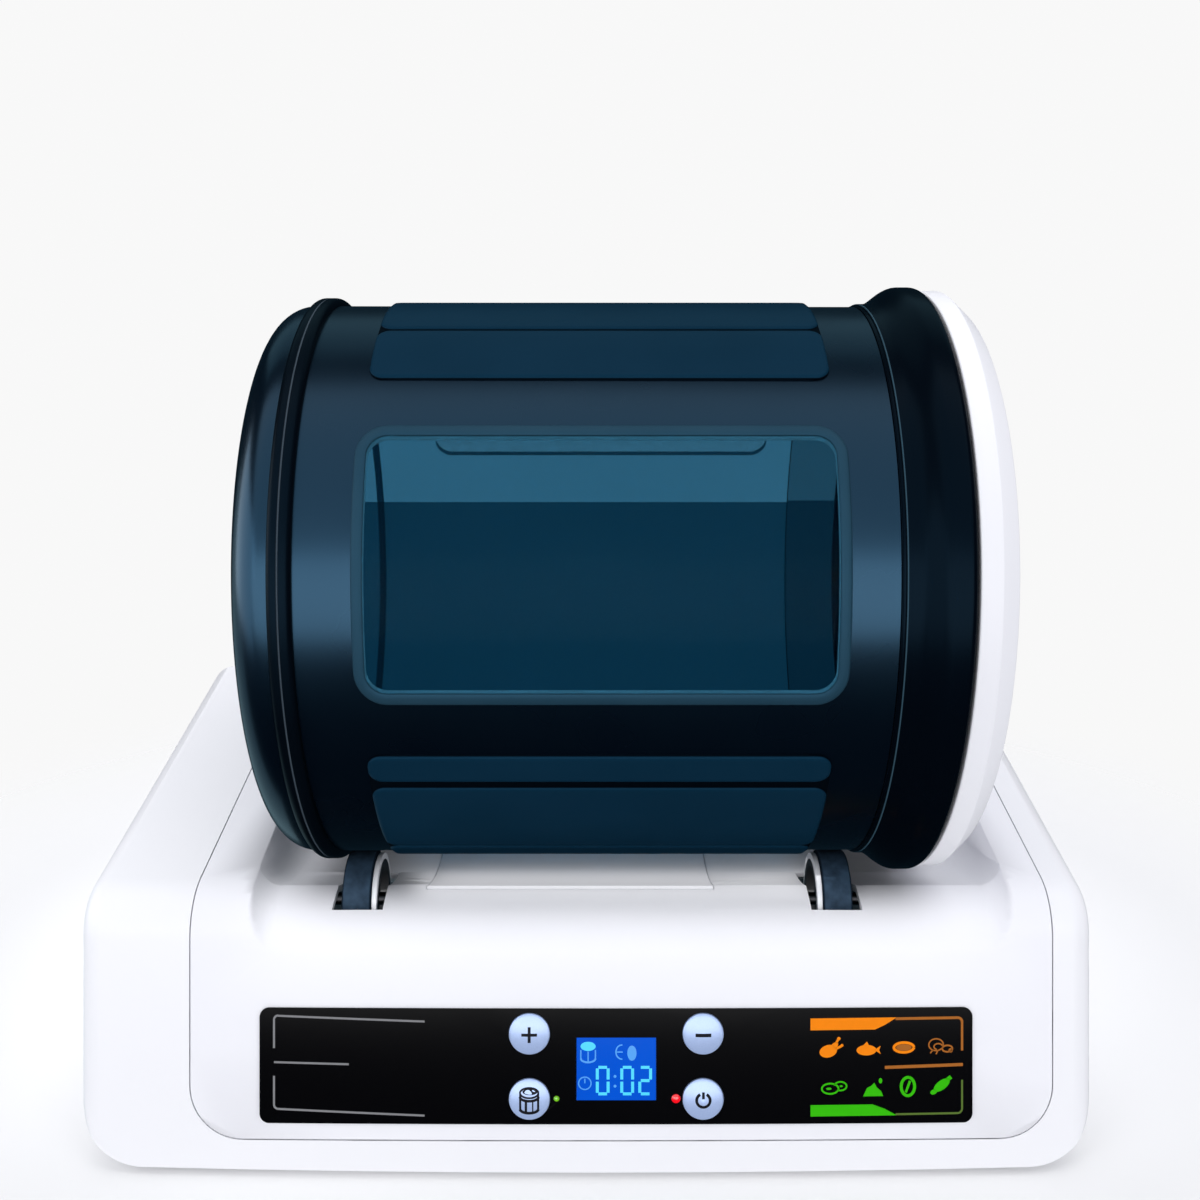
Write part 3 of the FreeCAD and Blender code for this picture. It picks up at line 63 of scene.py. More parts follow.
class Wire:
    """A socket's output. Arithmetic on it adds the Math nodes that do the sum."""

    def __init__(self, finish, socket):
        self.finish = finish
        self.socket = socket

    def math(self, operation, *others):
        return self.finish.node("ShaderNodeMath", {"operation": operation}, None, self, *others)

    def __add__(self, other):
        return self.math("ADD", other)

    __radd__ = __add__

    def __sub__(self, other):
        return self.math("SUBTRACT", other)

    def __rsub__(self, other):
        return self.finish.node("ShaderNodeMath", {"operation": "SUBTRACT"}, None, other, self)

    def __mul__(self, other):
        return self.math("MULTIPLY", other)

    __rmul__ = __mul__

    def __abs__(self):
        return self.math("ABSOLUTE")

    def __pow__(self, other):
        return self.math("POWER", other)

    def above(self, edge, soft):
        """0 below edge, 1 above edge + soft, with a smooth step between."""
        ready = {"interpolation_type": "SMOOTHSTEP"}
        return self.finish.node("ShaderNodeMapRange", ready, None, Value=self, From_Min=edge,
                                From_Max=edge + soft, To_Min=0.0, To_Max=1.0)

    def floor_at(self, low):
        """The value, or low where the value is less."""
        return self.math("MAXIMUM", low)


class Finish:
    """A material of the machine: its shader's constants, and what varies over it."""

    def __init__(self, name, color, rough, **fixed):
        self.material = bpy.data.materials.new(name)
        self.material.use_nodes = True
        self.tree = self.material.node_tree
        self.shader = self.tree.nodes["Principled BSDF"]
        self.color = (*color, 1.0)
        self.rough = rough
        self.shader.inputs["Base Color"].default_value = self.color
        self.shader.inputs["Roughness"].default_value = rough
        for key, value in fixed.items():
            self.shader.inputs[key.replace("_", " ")].default_value = value
        self.material.diffuse_color = self.color

    def join(self, value, socket):
        """Links a wire to a socket, or sets a constant on it."""
        if isinstance(value, Wire):
            self.tree.links.new(value.socket, socket)
        elif isinstance(value, (tuple, list)) and len(value) == 3 and socket.type == "RGBA":
            socket.default_value = (*value, 1.0)
        else:
            socket.default_value = value

    def node(self, kind, settings=None, out=None, *values, **named):
        """One node of any kind: its settings first, then the values or links of its sockets."""
        item = self.tree.nodes.new(kind)
        for key, value in (settings or {}).items():
            setattr(item, key, value)
        for value, socket in zip(values, item.inputs):
            self.join(value, socket)
        for key, value in named.items():
            self.join(value, item.inputs[key.replace("_", " ")])
        return Wire(self, item.outputs[out or 0])

    def place(self):
        """Where a point of the surface is, in millimetres of the machine's own frame."""
        point = self.node("ShaderNodeTexCoord", None, "Object")
        split = self.node("ShaderNodeSeparateXYZ", None, None, point)
        return [Wire(self, output) * (1.0 / MM) for output in split.socket.node.outputs]

    def noise(self, scale, detail=2.0, rough=0.5, stretch=(1.0, 1.0, 1.0)):
        """Cloudy unevenness from 0 to 1, with scale spots or so to the metre."""
        point = self.node("ShaderNodeTexCoord", None, "Object")
        long = self.node("ShaderNodeVectorMath", {"operation": "MULTIPLY"}, None, point, stretch)
        return self.node("ShaderNodeTexNoise", None, "Fac", Vector=long, Scale=scale, Detail=detail,
                         Roughness=rough)

    def tint(self, amount, first, second):
        """A colour between two others."""
        mixed = self.node("ShaderNodeMix", {"data_type": "RGBA"}, 2, amount)
        for value, socket in zip((first, second), mixed.socket.node.inputs[6:8]):
            self.join(value, socket)
        return mixed

    def feed(self, name, value):
        """Sets or links one socket of the shader."""
        self.join(value, self.shader.inputs[name])
        return self

    def bump(self, height, strength, distance):
        """Relief too fine to model, with distance in metres."""
        raised = self.node("ShaderNodeBump", None, None, Height=height, Strength=strength,
                           Distance=distance)
        return self.feed("Normal", raised)

    def moulded(self, shift=0.06, spread=0.05, grain=900.0, depth=0.00002, cloud=14.0):
        """The slight clouding, uneven gloss and fine skin that a moulded or cast surface has."""
        cloudy = self.noise(cloud, 3.0)
        dark = tuple(c * (1.0 - shift) for c in self.color[:3])
        self.feed("Base Color", self.tint(cloudy, dark, self.color[:3]))
        self.feed("Roughness", self.rough - spread / 2.0 + self.noise(cloud * 4.0, 2.0) * spread)
        return self.bump(self.noise(grain, 2.0), 0.25, depth)


# The sheet is painted paler near the base and glows there, painted light that lifts the
# machine's shade, and it is greyer further out, where the lamps reach it. Its edge fades into the
# background.
SHEET_REACH = 6000.0
ACROSS_SHARE = 0.42
SHADOW_REACH = 125.0
SHADOW_FADE = 70.0
SHEET_EDGE = 170.0
SHEET_FADE = 130.0
floor_mesh = bmesh.new()
bmesh.ops.create_grid(floor_mesh, x_segments=2, y_segments=2, size=SHEET_REACH * MM)
floor_data = bpy.data.meshes.new("worktop")
floor_mesh.to_mesh(floor_data)
floor_mesh.free()
worktop = bpy.data.objects.new("worktop", floor_data)
bpy.context.scene.collection.objects.link(worktop)
paper = Finish("worktop", (0.93, 0.93, 0.93), 0.9, Specular_IOR_Level=0.0, Emission_Strength=0.10)
x, y, z = paper.place()
away = (x * x * ACROSS_SHARE + y * y) ** 0.5
clear_of_base = away.above(SHADOW_REACH, SHADOW_FADE)
painted_pale_sheet = paper.tint(paper.noise(3.0), (0.885, 0.885, 0.885), (0.89, 0.89, 0.89))
paper.feed("Base Color", paper.tint(clear_of_base, painted_pale_sheet, (0.80, 0.80, 0.80)))
# near the base the sheet also glows: painted light against the machine's shadow
paper.feed("Emission Color", paper.tint(clear_of_base, (0.93, 0.93, 0.93), (0.10, 0.10, 0.10)))
paper.feed("Alpha", 1.0 - away.above(SHEET_EDGE, SHEET_FADE))
floor_data.materials.append(paper.material)
worktop.visible_glossy = False

# The camera, and what it sees through glass, meets the pale background. Gloss
# meets a dark room, which is what the smoked drum mirrors, and the rest of the
# light comes from a pale one.
BACKGROUND = (0.94, 0.94, 0.94, 1.0)
DARK_ROOM = (0.006, 0.018, 0.030, 1.0)
PALE_ROOM = (0.80, 0.81, 0.855, 1.0)
world = bpy.data.worlds.new("studio")
world.use_nodes = True
bpy.context.scene.world = world
sky = world.node_tree
paths = sky.nodes.new("ShaderNodeLightPath")
seen = sky.nodes.new("ShaderNodeMath")
seen.operation = "MAXIMUM"
sky.links.new(paths.outputs["Is Camera Ray"], seen.inputs[0])
sky.links.new(paths.outputs["Is Transmission Ray"], seen.inputs[1])
room = None
for ray, color in ((paths.outputs["Is Glossy Ray"], DARK_ROOM), (seen.outputs[0], BACKGROUND)):
    shade = sky.nodes.new("ShaderNodeMix")
    shade.data_type = "RGBA"
    sky.links.new(ray, shade.inputs[0])
    shade.inputs[6].default_value = PALE_ROOM
    if room is not None:
        sky.links.new(room, shade.inputs[6])
    shade.inputs[7].default_value = color
    room = shade.outputs[2]
sky.links.new(room, sky.nodes["Background"].inputs["Color"])

WHITE = (1.0, 1.0, 1.0)
LAMPS = (
    # name, place, what it faces, size, watts, colour: large lamps, then small ones that
    # lift the shade in the cradle, under the brow and on the deck beside the drum
    ("overhead", (0.05, 0.30, 1.30), (0.0, 0.05, 0.10), (1.8, 0.9), 6.6, WHITE),
    ("front_left", (-1.05, -0.70, 1.15), (0.0, 0.0, 0.12), (0.9, 0.8), 3.6, WHITE),
    ("front_right", (1.20, -0.90, 0.50), (0.0, 0.0, 0.12), (0.7, 0.8), 1.35, WHITE),
    ("rear", (0.0, 1.3, 0.9), (0.0, 0.0, 0.12), (1.6, 0.6), 1.5, WHITE),
    ("front_low", (0.0, -1.3, 0.20), (0.0, 0.0, 0.12), (1.2, 0.3), 1.7, WHITE),
    ("cradle_fill", (0.015, -0.047, 0.0885), (0.015, -0.062, 0.041), (0.16, 0.040), 0.015, WHITE),
    ("brow_fill", (0.010, -0.089, 0.113), (0.010, -0.100, 0.060), (0.25, 0.012), 0.020, WHITE),
    ("deck_fill", (-0.150, -0.050, 0.190), (-0.148, -0.018, 0.088), (0.03, 0.12), 0.014, WHITE),
)
SOFT_BOXES = (
    # these light nothing, and only show as reflections on gloss
    ("front_box", (0.0, -1.2, 0.53), (0.0, 0.0, 0.22), (2.2, 0.70), 25.0, WHITE),
    ("high_box", (0.0, -0.50, 1.31), (0.0, 0.0, 0.19), (2.4, 1.9), 25.0, (0.80, 0.93, 1.0)),
    ("rear_box", (0.0, 1.0, 1.10), (0.0, 0.0, 0.19), (2.2, 0.8), 2.2, (0.40, 0.80, 1.0)),
    ("left_box", (-1.2, -0.35, 0.50), (-0.1, 0.0, 0.19), (1.5, 0.9), 15.0, (0.85, 0.95, 1.0)),
    ("low_left_box", (-0.42, 0.02, 0.005), (-0.12, 0.0, 0.16), (0.35, 0.7), 0.40, (0.55, 0.88, 1.0)),
)
for lamp_name, spot, aim, (wide, tall), watts, tone in LAMPS + SOFT_BOXES:
    light = bpy.data.lights.new(lamp_name, "AREA")
    light.shape = "RECTANGLE"
    light.size = wide
    light.size_y = tall
    light.energy = watts
    light.color = tone
    lamp = bpy.data.objects.new(lamp_name, light)
    lamp.location = spot
    lamp.rotation_euler = (Vector(aim) - Vector(spot)).to_track_quat("-Z", "Y").to_euler()
    only_gloss = lamp_name.endswith("_box")
    lamp.visible_camera = False
    lamp.visible_glossy = only_gloss
    lamp.visible_diffuse = not only_gloss
    bpy.context.scene.collection.objects.link(lamp)

# Outer shell.
# The white housing is one injection moulding: a bowed, leaning front, soft
# shoulders and closed ends, with the deck cover let into its top.


def smoothed(name, angle=32.0, soft=0.0):
    """A finer copy of a CAD node: smooth over its facets, crisp or softened at its edges."""
    mesh = nodes[name].data.copy()
    build = bmesh.new()
    build.from_mesh(mesh)
    bmesh.ops.remove_doubles(build, verts=build.verts, dist=0.01 * MM)
    build.to_mesh(mesh)
    build.free()
    mesh.materials.clear()
    for face in mesh.polygons:
        face.use_smooth = True
    mesh.set_sharp_from_angle(angle=math.radians(angle))
    piece = bpy.data.objects.new(name + "_moulding", mesh)
    bpy.context.scene.collection.objects.link(piece)
    if soft:
        bevel = piece.modifiers.new("soft_edges", "BEVEL")
        bevel.width = soft * MM
        bevel.segments = 2
        bevel.limit_method = "ANGLE"
        bevel.angle_limit = math.radians(angle)
        bevel.harden_normals = True
    return piece


def seat(piece, finish, body, *replaced, slot=None):
    """Puts a finished piece on its body, in place of the plain solids it stands for."""
    piece.data.materials.clear()
    piece.data.materials.append(finish.material)
    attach(piece, body)
    if replaced:
        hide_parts(*replaced)
    return piece


white_moulding = Finish("white_moulding", (0.86, 0.86, 0.885), 0.34, Specular_IOR_Level=0.12)
white_moulding.moulded(shift=0.02, spread=0.06, grain=700.0, depth=0.00001, cloud=9.0)
shell = seat(smoothed("outer_shell"), white_moulding, "base", "outer_shell", slot="white_housing")
shell.visible_glossy = False

# Deck cover and cradle panel.
# The cover drops into the shell's top and carries the cradle for the drum. A
# loose panel closes the cradle's floor.

deck_moulding = Finish("deck_moulding", (0.85, 0.85, 0.885), 0.38, Specular_IOR_Level=0.10)
deck_moulding.moulded(shift=0.025, spread=0.06, grain=700.0, depth=0.00001, cloud=9.0)
for name in ("deck_cover", "cradle_hatch"):
    deck = seat(smoothed(name), deck_moulding, "base", name, slot="white_deck")
    deck.visible_glossy = False

# Bottom plate, feet and screws.
# A grey moulded plate closes the base from below. It stands on four rubber
# feet and is held, like the cover, by self-tapping screws.


def dress(finish, *names):
    """Gives carried-over CAD nodes their material, and keeps them out of the drum's reflections."""
    for name in names:
        nodes[name].visible_glossy = False
        mesh = nodes[name].data
        mesh.materials.clear()
        mesh.materials.append(finish.material)


grey_moulding = Finish("grey_moulding", (0.10, 0.105, 0.115), 0.55)
grey_moulding.moulded(shift=0.2, spread=0.1, grain=500.0, depth=0.00004)
dress(grey_moulding, "chassis_plate", "pump_saddle")
foot_rubber = Finish("foot_rubber", (0.018, 0.018, 0.019), 0.75)
foot_rubber.moulded(shift=0.3, spread=0.15, grain=1200.0, depth=0.00005)
dress(foot_rubber, "rubber_feet")
zinc = Finish("zinc_plate", (0.52, 0.53, 0.55), 0.34, Metallic=1.0)
zinc.moulded(shift=0.18, spread=0.16, grain=800.0, depth=0.00003, cloud=30.0)
dress(zinc, "cover_screws", "plate_screws", "frame_screws", "board_screws", "left_axle_frame",
      "right_axle_frame")

# Bearings, axles and clips.
# Blackened steel shafts run in sintered bronze bushes, and a spring clip
# outside each frame keeps the shaft from sliding out.

bronze = Finish("sintered_bronze", (0.42, 0.25, 0.11), 0.42, Metallic=0.9)
bronze.moulded(shift=0.25, spread=0.2, grain=2200.0, depth=0.00006, cloud=60.0)
dress(bronze, "axle_bushes")
shaft_steel = Finish("blackened_steel", (0.020, 0.020, 0.022), 0.40, Metallic=1.0)
turning = shaft_steel.noise(400.0, 1.0, 0.5, (6.0, 1.0, 1.0))
shaft_steel.feed("Roughness", 0.30 + turning * 0.16)
shaft_steel.feed("Base Color", shaft_steel.tint(turning, (0.016, 0.016, 0.018), (0.026, 0.026, 0.028)))
dress(shaft_steel, "front_axle", "rear_axle", "front_axle_clips", "rear_axle_clips")

# Gearmotor, pinion and gear.
# The motor drives the rear axle through a pair of acetal spur gears.

acetal = Finish("acetal", (0.74, 0.71, 0.62), 0.38)
acetal.moulded(shift=0.06, spread=0.08, grain=900.0, depth=0.00002, cloud=40.0)
dress(acetal, "axle_gear", "drive_pinion")
plated_can = Finish("plated_can", (0.16, 0.165, 0.18), 0.36, Metallic=0.7)
plated_can.moulded(shift=0.2, spread=0.14, grain=300.0, depth=0.00003, cloud=25.0)
dress(plated_can, "gearmotor", "vacuum_pump")

# Pump, tube, port and mains parts.
# The pump draws through a soft tube from the port in the back wall; the inlet
# and the supply board feed the motor and the pump.

silicone = Finish("silicone_tube", (0.72, 0.75, 0.78), 0.4, Transmission_Weight=0.4)
silicone.moulded(shift=0.05, spread=0.1, grain=600.0, depth=0.00002)
dress(silicone, "vacuum_tube", "lid_gasket")
dress(grey_moulding, "vacuum_port", "lcd_module")
black_moulding = Finish("black_moulding", (0.012, 0.012, 0.013), 0.4)
black_moulding.moulded(shift=0.3, spread=0.12, grain=700.0, depth=0.00003)
dress(black_moulding, "power_inlet", "tact_switches")
laminate = Finish("board_laminate", (0.016, 0.10, 0.045), 0.35)
laminate.moulded(shift=0.35, spread=0.15, grain=260.0, depth=0.00004, cloud=60.0)
dress(laminate, "power_board", "control_board")

# Wheels.
# Four moulded hubs, their dish painted dark as shade, pressed on their axles, carry
# the drum on slate rubber tyres. The rubber is matt, and paler on its crown, where it rolls.

AXLE_Z = 76.8327
AXLES = (("front", -54.0), ("rear", 67.0))
CROWN_RADIUS = 18.6
DISH_RADIUS = 15.3


def off_axis(finish, axis_y, axis_z):
    """How far the surface lies from an axis along X."""
    x, y, z = finish.place()
    return ((y - axis_y) * (y - axis_y) + (z - axis_z) * (z - axis_z)) ** 0.5


for row, axle_y in AXLES:
    tyre_rubber = Finish(row + "_tyre_rubber", (0.008, 0.018, 0.030), 0.72, Specular_IOR_Level=0.06)
    crown = off_axis(tyre_rubber, axle_y, AXLE_Z).above(CROWN_RADIUS, 0.35)
    worn = tyre_rubber.noise(220.0, 4.0) * crown
    tyre_rubber.feed("Base Color", tyre_rubber.tint(worn, (0.004, 0.010, 0.020), (0.042, 0.082, 0.135)))
    tyre_rubber.feed("Roughness", 0.82 - worn * 0.25)
    tyre_rubber.bump(tyre_rubber.noise(1500.0, 3.0), 0.4, 0.00006)
    for side in ("left", "right"):
        name = "%s_%s_tyre" % (row, side)
        tyre = smoothed(name, angle=30.0, soft=0.25)
        seat(tyre, tyre_rubber, row + "_axle_set", name, slot="slate_tyre")
        tyre.visible_glossy = False
    hub_plastic = Finish(row + "_hub_plastic", (0.78, 0.79, 0.82), 0.34, Coat_Weight=0.3)
    # the dish is painted near-black: painted shade in the hub's recess
    dish_shade = 1.0 - off_axis(hub_plastic, axle_y, AXLE_Z).above(DISH_RADIUS, 0.2)
    hub_plastic.feed("Base Color", hub_plastic.tint(dish_shade, (0.78, 0.79, 0.82), (0.012, 0.012, 0.014)))
    hub_plastic.feed("Roughness", 0.30 + hub_plastic.noise(60.0) * 0.1 + dish_shade * 0.25)
    for side in ("left", "right"):
        name = "%s_%s_hub" % (row, side)
        hub = smoothed(name, angle=30.0, soft=0.3)
        seat(hub, hub_plastic, row + "_axle_set", name, slot="white_hub")
        hub.visible_glossy = False

# Front panel and its print.
# A gloss black sheet is stuck to the leaning face. Its print is screened on:
# grey brackets, and orange and green bands over small food signs.

LEAN = math.radians(LOOK_DOWN)
BOW_RADIUS = 5200.0
FACE_FRONT = -120.5
FACE_FOOT = 3.0
PANEL_X = 11.2
PANEL_TOP = 0.6
PRINT_RISE = 0.04


def face_point(x, v, depth, flat=False):
    """A point v up the bowed face and depth above it, or above the plane that touches its middle."""
    reach = BOW_RADIUS - v * math.sin(LEAN) + depth * math.cos(LEAN)
    y = FACE_FRONT + BOW_RADIUS - (reach if flat else math.sqrt(reach * reach - x * x))
    z = FACE_FOOT + v * math.cos(LEAN) + depth * math.sin(LEAN)
    return Vector((x * MM, y * MM, z * MM))


def new_piece(name, build, finish, smooth_angle=None):
    """Closes a bmesh into an object with its material."""
    mesh = bpy.data.meshes.new(name)
    build.normal_update()
    build.to_mesh(mesh)
    build.free()
    mesh.materials.append(finish.material)
    if smooth_angle is not None:
        for face in mesh.polygons:
            face.use_smooth = True
        mesh.set_sharp_from_angle(angle=math.radians(smooth_angle))
    piece = bpy.data.objects.new(name, mesh)
    bpy.context.scene.collection.objects.link(piece)
    return piece


def ribbon(points, width):
    """The outline of a line of one width along some points."""
    left, right = [], []
    for i, (x, v) in enumerate(points):
        x0, v0 = points[max(i - 1, 0)]
        x1, v1 = points[min(i + 1, len(points) - 1)]
        length = math.hypot(x1 - x0, v1 - v0) or 1.0
        nx, nv = -(v1 - v0) / length * width / 2.0, (x1 - x0) / length * width / 2.0
        left.append((x + nx, v + nv))
        right.append((x - nx, v - nv))
    return [[left[i], left[i + 1], right[i + 1], right[i]] for i in range(len(points) - 1)]


def stretch(x0, v0, x1, v1, width, parts=8):
    """A straight line of one width."""
    points = [(x0 + (x1 - x0) * i / parts, v0 + (v1 - v0) * i / parts) for i in range(parts + 1)]
    return ribbon(points, width)


def bow(cx, cv, rx, rv, start, end, width, parts=28):
    """Part of an ellipse drawn as a line, between two angles in degrees."""
    points = []
    for i in range(parts + 1):
        angle = math.radians(start + (end - start) * i / parts)
        points.append((cx + rx * math.cos(angle), cv + rv * math.sin(angle)))
    return ribbon(points, width)


def disc(cx, cv, rx, rv=None, turn=0.0, parts=28):
    """A filled ellipse, turned by some degrees."""
    rv = rx if rv is None else rv
    c, s = math.cos(math.radians(turn)), math.sin(math.radians(turn))
    outline = []
    for i in range(parts):
        angle = math.tau * i / parts
        x, v = rx * math.cos(angle), rv * math.sin(angle)
        outline.append((cx + x * c - v * s, cv + x * s + v * c))
    return [outline]


def printed(name, shapes, finish, body="base", lift=lambda x, v: PANEL_TOP + PRINT_RISE, flat=False):
    """Thin printed shapes laid just above a surface of the panel, as one piece."""
    build = bmesh.new()
    for outline in shapes:
        verts = [build.verts.new(face_point(PANEL_X + x, v, lift(x, v), flat)) for x, v in outline]
        face = build.faces.new(verts)
        face.normal_update()
        if face.normal.y > 0.0:
            face.normal_flip()
    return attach(new_piece(name, build, finish), body)


panel_gloss = Finish("panel_gloss", (0.0015, 0.0015, 0.002), 0.12, Specular_IOR_Level=0.05)
smear = panel_gloss.noise(6.0, 3.0)
panel_gloss.feed("Base Color", panel_gloss.tint(smear, (0.001, 0.001, 0.0014), (0.002, 0.002, 0.0026)))
panel_gloss.feed("Roughness", 0.10 + smear * 0.05)
sheet = smoothed("front_panel", angle=30.0)
even = sheet.modifiers.new("even_normals", "WEIGHTED_NORMAL")
even.keep_sharp = True
seat(sheet, panel_gloss, "base", "front_panel", slot="black_gloss")


def inked(name, color):
    """Screen-printed ink: slightly uneven cover and a satin surface."""
    finish = Finish(name, color, 0.5, Specular_IOR_Level=0.03)
    finish.moulded(shift=0.12, spread=0.1, grain=900.0, depth=0.000005, cloud=260.0)
    return finish


grey_ink = inked("grey_ink", (0.23, 0.23, 0.24))
orange_ink = inked("orange_ink", (0.96, 0.25, 0.003))
dull_orange_ink = inked("dull_orange_ink", (0.40, 0.13, 0.02))
green_ink = inked("green_ink", (0.035, 0.50, 0.001))
dull_green_ink = inked("dull_green_ink", (0.10, 0.17, 0.03))

# The print's own places: x across the panel from its middle, and v up the face.
# The grey lines have one width, and most corners of the lines one radius.
GREY_LINE = 0.75
TURN = 1.6
LEFT_EDGE = -126.8
LEFT_END = -70.9
LEFT_TOP = 55.9
LEFT_LOW = 24.5
printed("left_brackets", (
    stretch(LEFT_EDGE + 1.5, 57.4, LEFT_END, LEFT_TOP, GREY_LINE, 12)
    + bow(LEFT_EDGE + TURN, LEFT_TOP, TURN, TURN, 90.0, 180.0, GREY_LINE, 6)
    + stretch(LEFT_EDGE, LEFT_TOP, LEFT_EDGE, 45.4, GREY_LINE)
    + stretch(LEFT_EDGE, 40.2, -99.0, 39.8, GREY_LINE)
    + stretch(LEFT_EDGE, 35.1, LEFT_EDGE, LEFT_LOW, GREY_LINE)
    + bow(LEFT_EDGE + TURN, LEFT_LOW, TURN, TURN, 180.0, 270.0, GREY_LINE, 6)
    + stretch(LEFT_EDGE + 1.5, 22.9, LEFT_END, 21.1, GREY_LINE, 12)), grey_ink)

BAND_LEFT = 71.9
BAND_END = 104.0
BAND_TOP = 56.8
BAND_LOW = 20.5
RIGHT_EDGE = 128.3
RIGHT_TOP = 54.7
RIGHT_LOW = 22.6
LINE_TOP = BAND_TOP - 0.5
LINE_LOW = BAND_LOW + 0.4
printed("orange_band", [[
    (BAND_LEFT, 52.4), (95.9, 52.4), (99.6, 54.1), (BAND_END, BAND_TOP), (BAND_LEFT, BAND_TOP)]],
    orange_ink)
printed("orange_lines", (
    stretch(BAND_END - 0.5, LINE_TOP, 126.7, LINE_TOP, 1.0)
    + bow(126.7, RIGHT_TOP, TURN, TURN, 90.0, 0.0, 0.95, 6)
    + stretch(RIGHT_EDGE, RIGHT_TOP, RIGHT_EDGE, 44.1, 0.85)
    + stretch(99.5, 38.3, RIGHT_EDGE + 0.3, 38.9, 1.15)), dull_orange_ink)
printed("green_band", [[
    (BAND_LEFT, BAND_LOW), (BAND_END, BAND_LOW), (99.4, 23.0), (94.9, 24.7), (BAND_LEFT, 24.7)]],
    green_ink)
printed("green_lines", (
    stretch(BAND_END - 0.5, LINE_LOW, 126.6, LINE_LOW, 0.75)
    + bow(126.6, RIGHT_LOW, 1.7, 1.7, -90.0, 0.0, 0.7, 6)
    + stretch(RIGHT_EDGE, RIGHT_LOW, RIGHT_EDGE, 33.2, 0.7)), dull_green_ink)

# Food signs, drawn for this panel: a roast bird, a fish, a chop and a squid
# over two slices, a heap of beans, a melon and a pepper.
printed("orange_signs", (
    disc(78.5, 44.6, 3.3, 2.3, 14.0) + disc(80.6, 46.3, 2.0, 1.1, 48.0)
    + stretch(80.9, 46.6, 82.2, 48.9, 0.9, 3) + disc(82.4, 49.2, 0.65)
    + stretch(81.2, 45.4, 83.3, 46.4, 0.9, 3) + disc(83.6, 46.7, 0.55)
    + disc(92.7, 44.8, 3.7, 1.95)
    + [[(95.6, 44.8), (98.0, 46.4), (97.4, 44.8), (98.0, 43.3)], [(91.4, 46.6), (93.6, 46.6), (92.9, 48.0)]]
    + bow(106.6, 45.6, 3.7, 1.8, 0.0, 360.0, 1.0)), orange_ink)
printed("dim_signs", (
    disc(106.6, 45.6, 2.9, 1.2) + bow(118.6, 46.4, 2.7, 2.2, 0.0, 360.0, 0.5)
    + bow(119.4, 45.7, 1.6, 1.1, 20.0, 250.0, 0.5)
    + bow(122.8, 44.9, 1.9, 1.2, 0.0, 360.0, 0.6) + disc(124.0, 44.2, 0.8)
    + stretch(117.6, 44.6, 116.4, 43.3, 0.5, 3)
    + stretch(119.2, 44.3, 118.6, 42.9, 0.5, 3)), dull_orange_ink)
printed("green_signs", (
    bow(79.2, 30.7, 3.1, 1.9, 0.0, 360.0, 0.65) + disc(78.7, 30.7, 1.0, 0.45)
    + bow(83.0, 31.6, 2.3, 1.6, -120.0, 170.0, 0.6) + disc(83.3, 31.6, 0.6, 0.35)
    + [[(91.4, 27.7), (98.9, 27.7), (98.1, 29.6), (96.5, 31.0), (95.6, 32.7), (94.5, 31.6), (92.9, 30.8)]]
    + disc(97.9, 33.4, 0.65, 1.0)
    + bow(108.1, 31.1, 2.5, 3.4, 80.0, 440.0, 1.1)
    + stretch(107.3, 28.9, 108.9, 33.2, 0.9, 3)
    + disc(120.7, 31.4, 3.5, 1.7, 36.0) + disc(117.7, 28.9, 1.3, 0.9, 20.0)
    + stretch(122.6, 33.2, 124.2, 34.4, 1.5, 3)), green_ink)

# Display.
# A lit blue window with pale segments: minutes and seconds left, and small
# signs for the drum and the timer.

LENS_TOP = 0.45
GLASS_LIFT = LENS_TOP + 0.03
lens_blue = Finish("lens_blue", (0.001, 0.01, 0.04), 0.12, Specular_IOR_Level=0.08, Emission_Strength=1.0)
glow = lens_blue.noise(40.0, 2.0)
lens_blue.feed("Emission Color", lens_blue.tint(glow, (0.0, 0.075, 0.60), (0.0, 0.09, 0.67)))
lens_blue.feed("Base Color", lens_blue.tint(glow, (0.001, 0.008, 0.03), (0.002, 0.012, 0.05)))
seat(smoothed("display_lens", angle=30.0), lens_blue, "base", "display_lens", slot="display_blue")

segment_glow = Finish("segment_glow", (0.01, 0.05, 0.08), 0.3, Emission_Strength=1.0)
pulse = segment_glow.noise(90.0, 2.0)
segment_glow.feed("Emission Color", segment_glow.tint(pulse, (0.01, 0.56, 0.88), (0.03, 0.66, 0.95)))
segment_glow.feed("Roughness", 0.25 + pulse * 0.1)
dim_glow = Finish("dim_glow", (0.01, 0.03, 0.06), 0.3, Emission_Strength=1.0)
faint = dim_glow.noise(90.0, 2.0)
dim_glow.feed("Emission Color", dim_glow.tint(faint, (0.01, 0.22, 0.74), (0.02, 0.32, 0.84)))
dim_glow.feed("Roughness", 0.25 + faint * 0.1)
DIGIT_WIDE = 4.0
DIGIT_TALL = 9.8
STROKE_WIDE = 1.1
STROKE_TRIM = 0.4
LIT_STROKES = {"0": "abcdef", "2": "abged"}
STROKES = {
    # a is the top, b to f follow clockwise, and g is the middle
    "a": (0.0, 1.0, 1.0, 1.0),
    "b": (1.0, 1.0, 1.0, 0.5),
    "c": (1.0, 0.5, 1.0, 0.0),
    "d": (0.0, 0.0, 1.0, 0.0),
    "e": (0.0, 0.5, 0.0, 0.0),
    "f": (0.0, 1.0, 0.0, 0.5),
    "g": (0.0, 0.5, 1.0, 0.5),
}


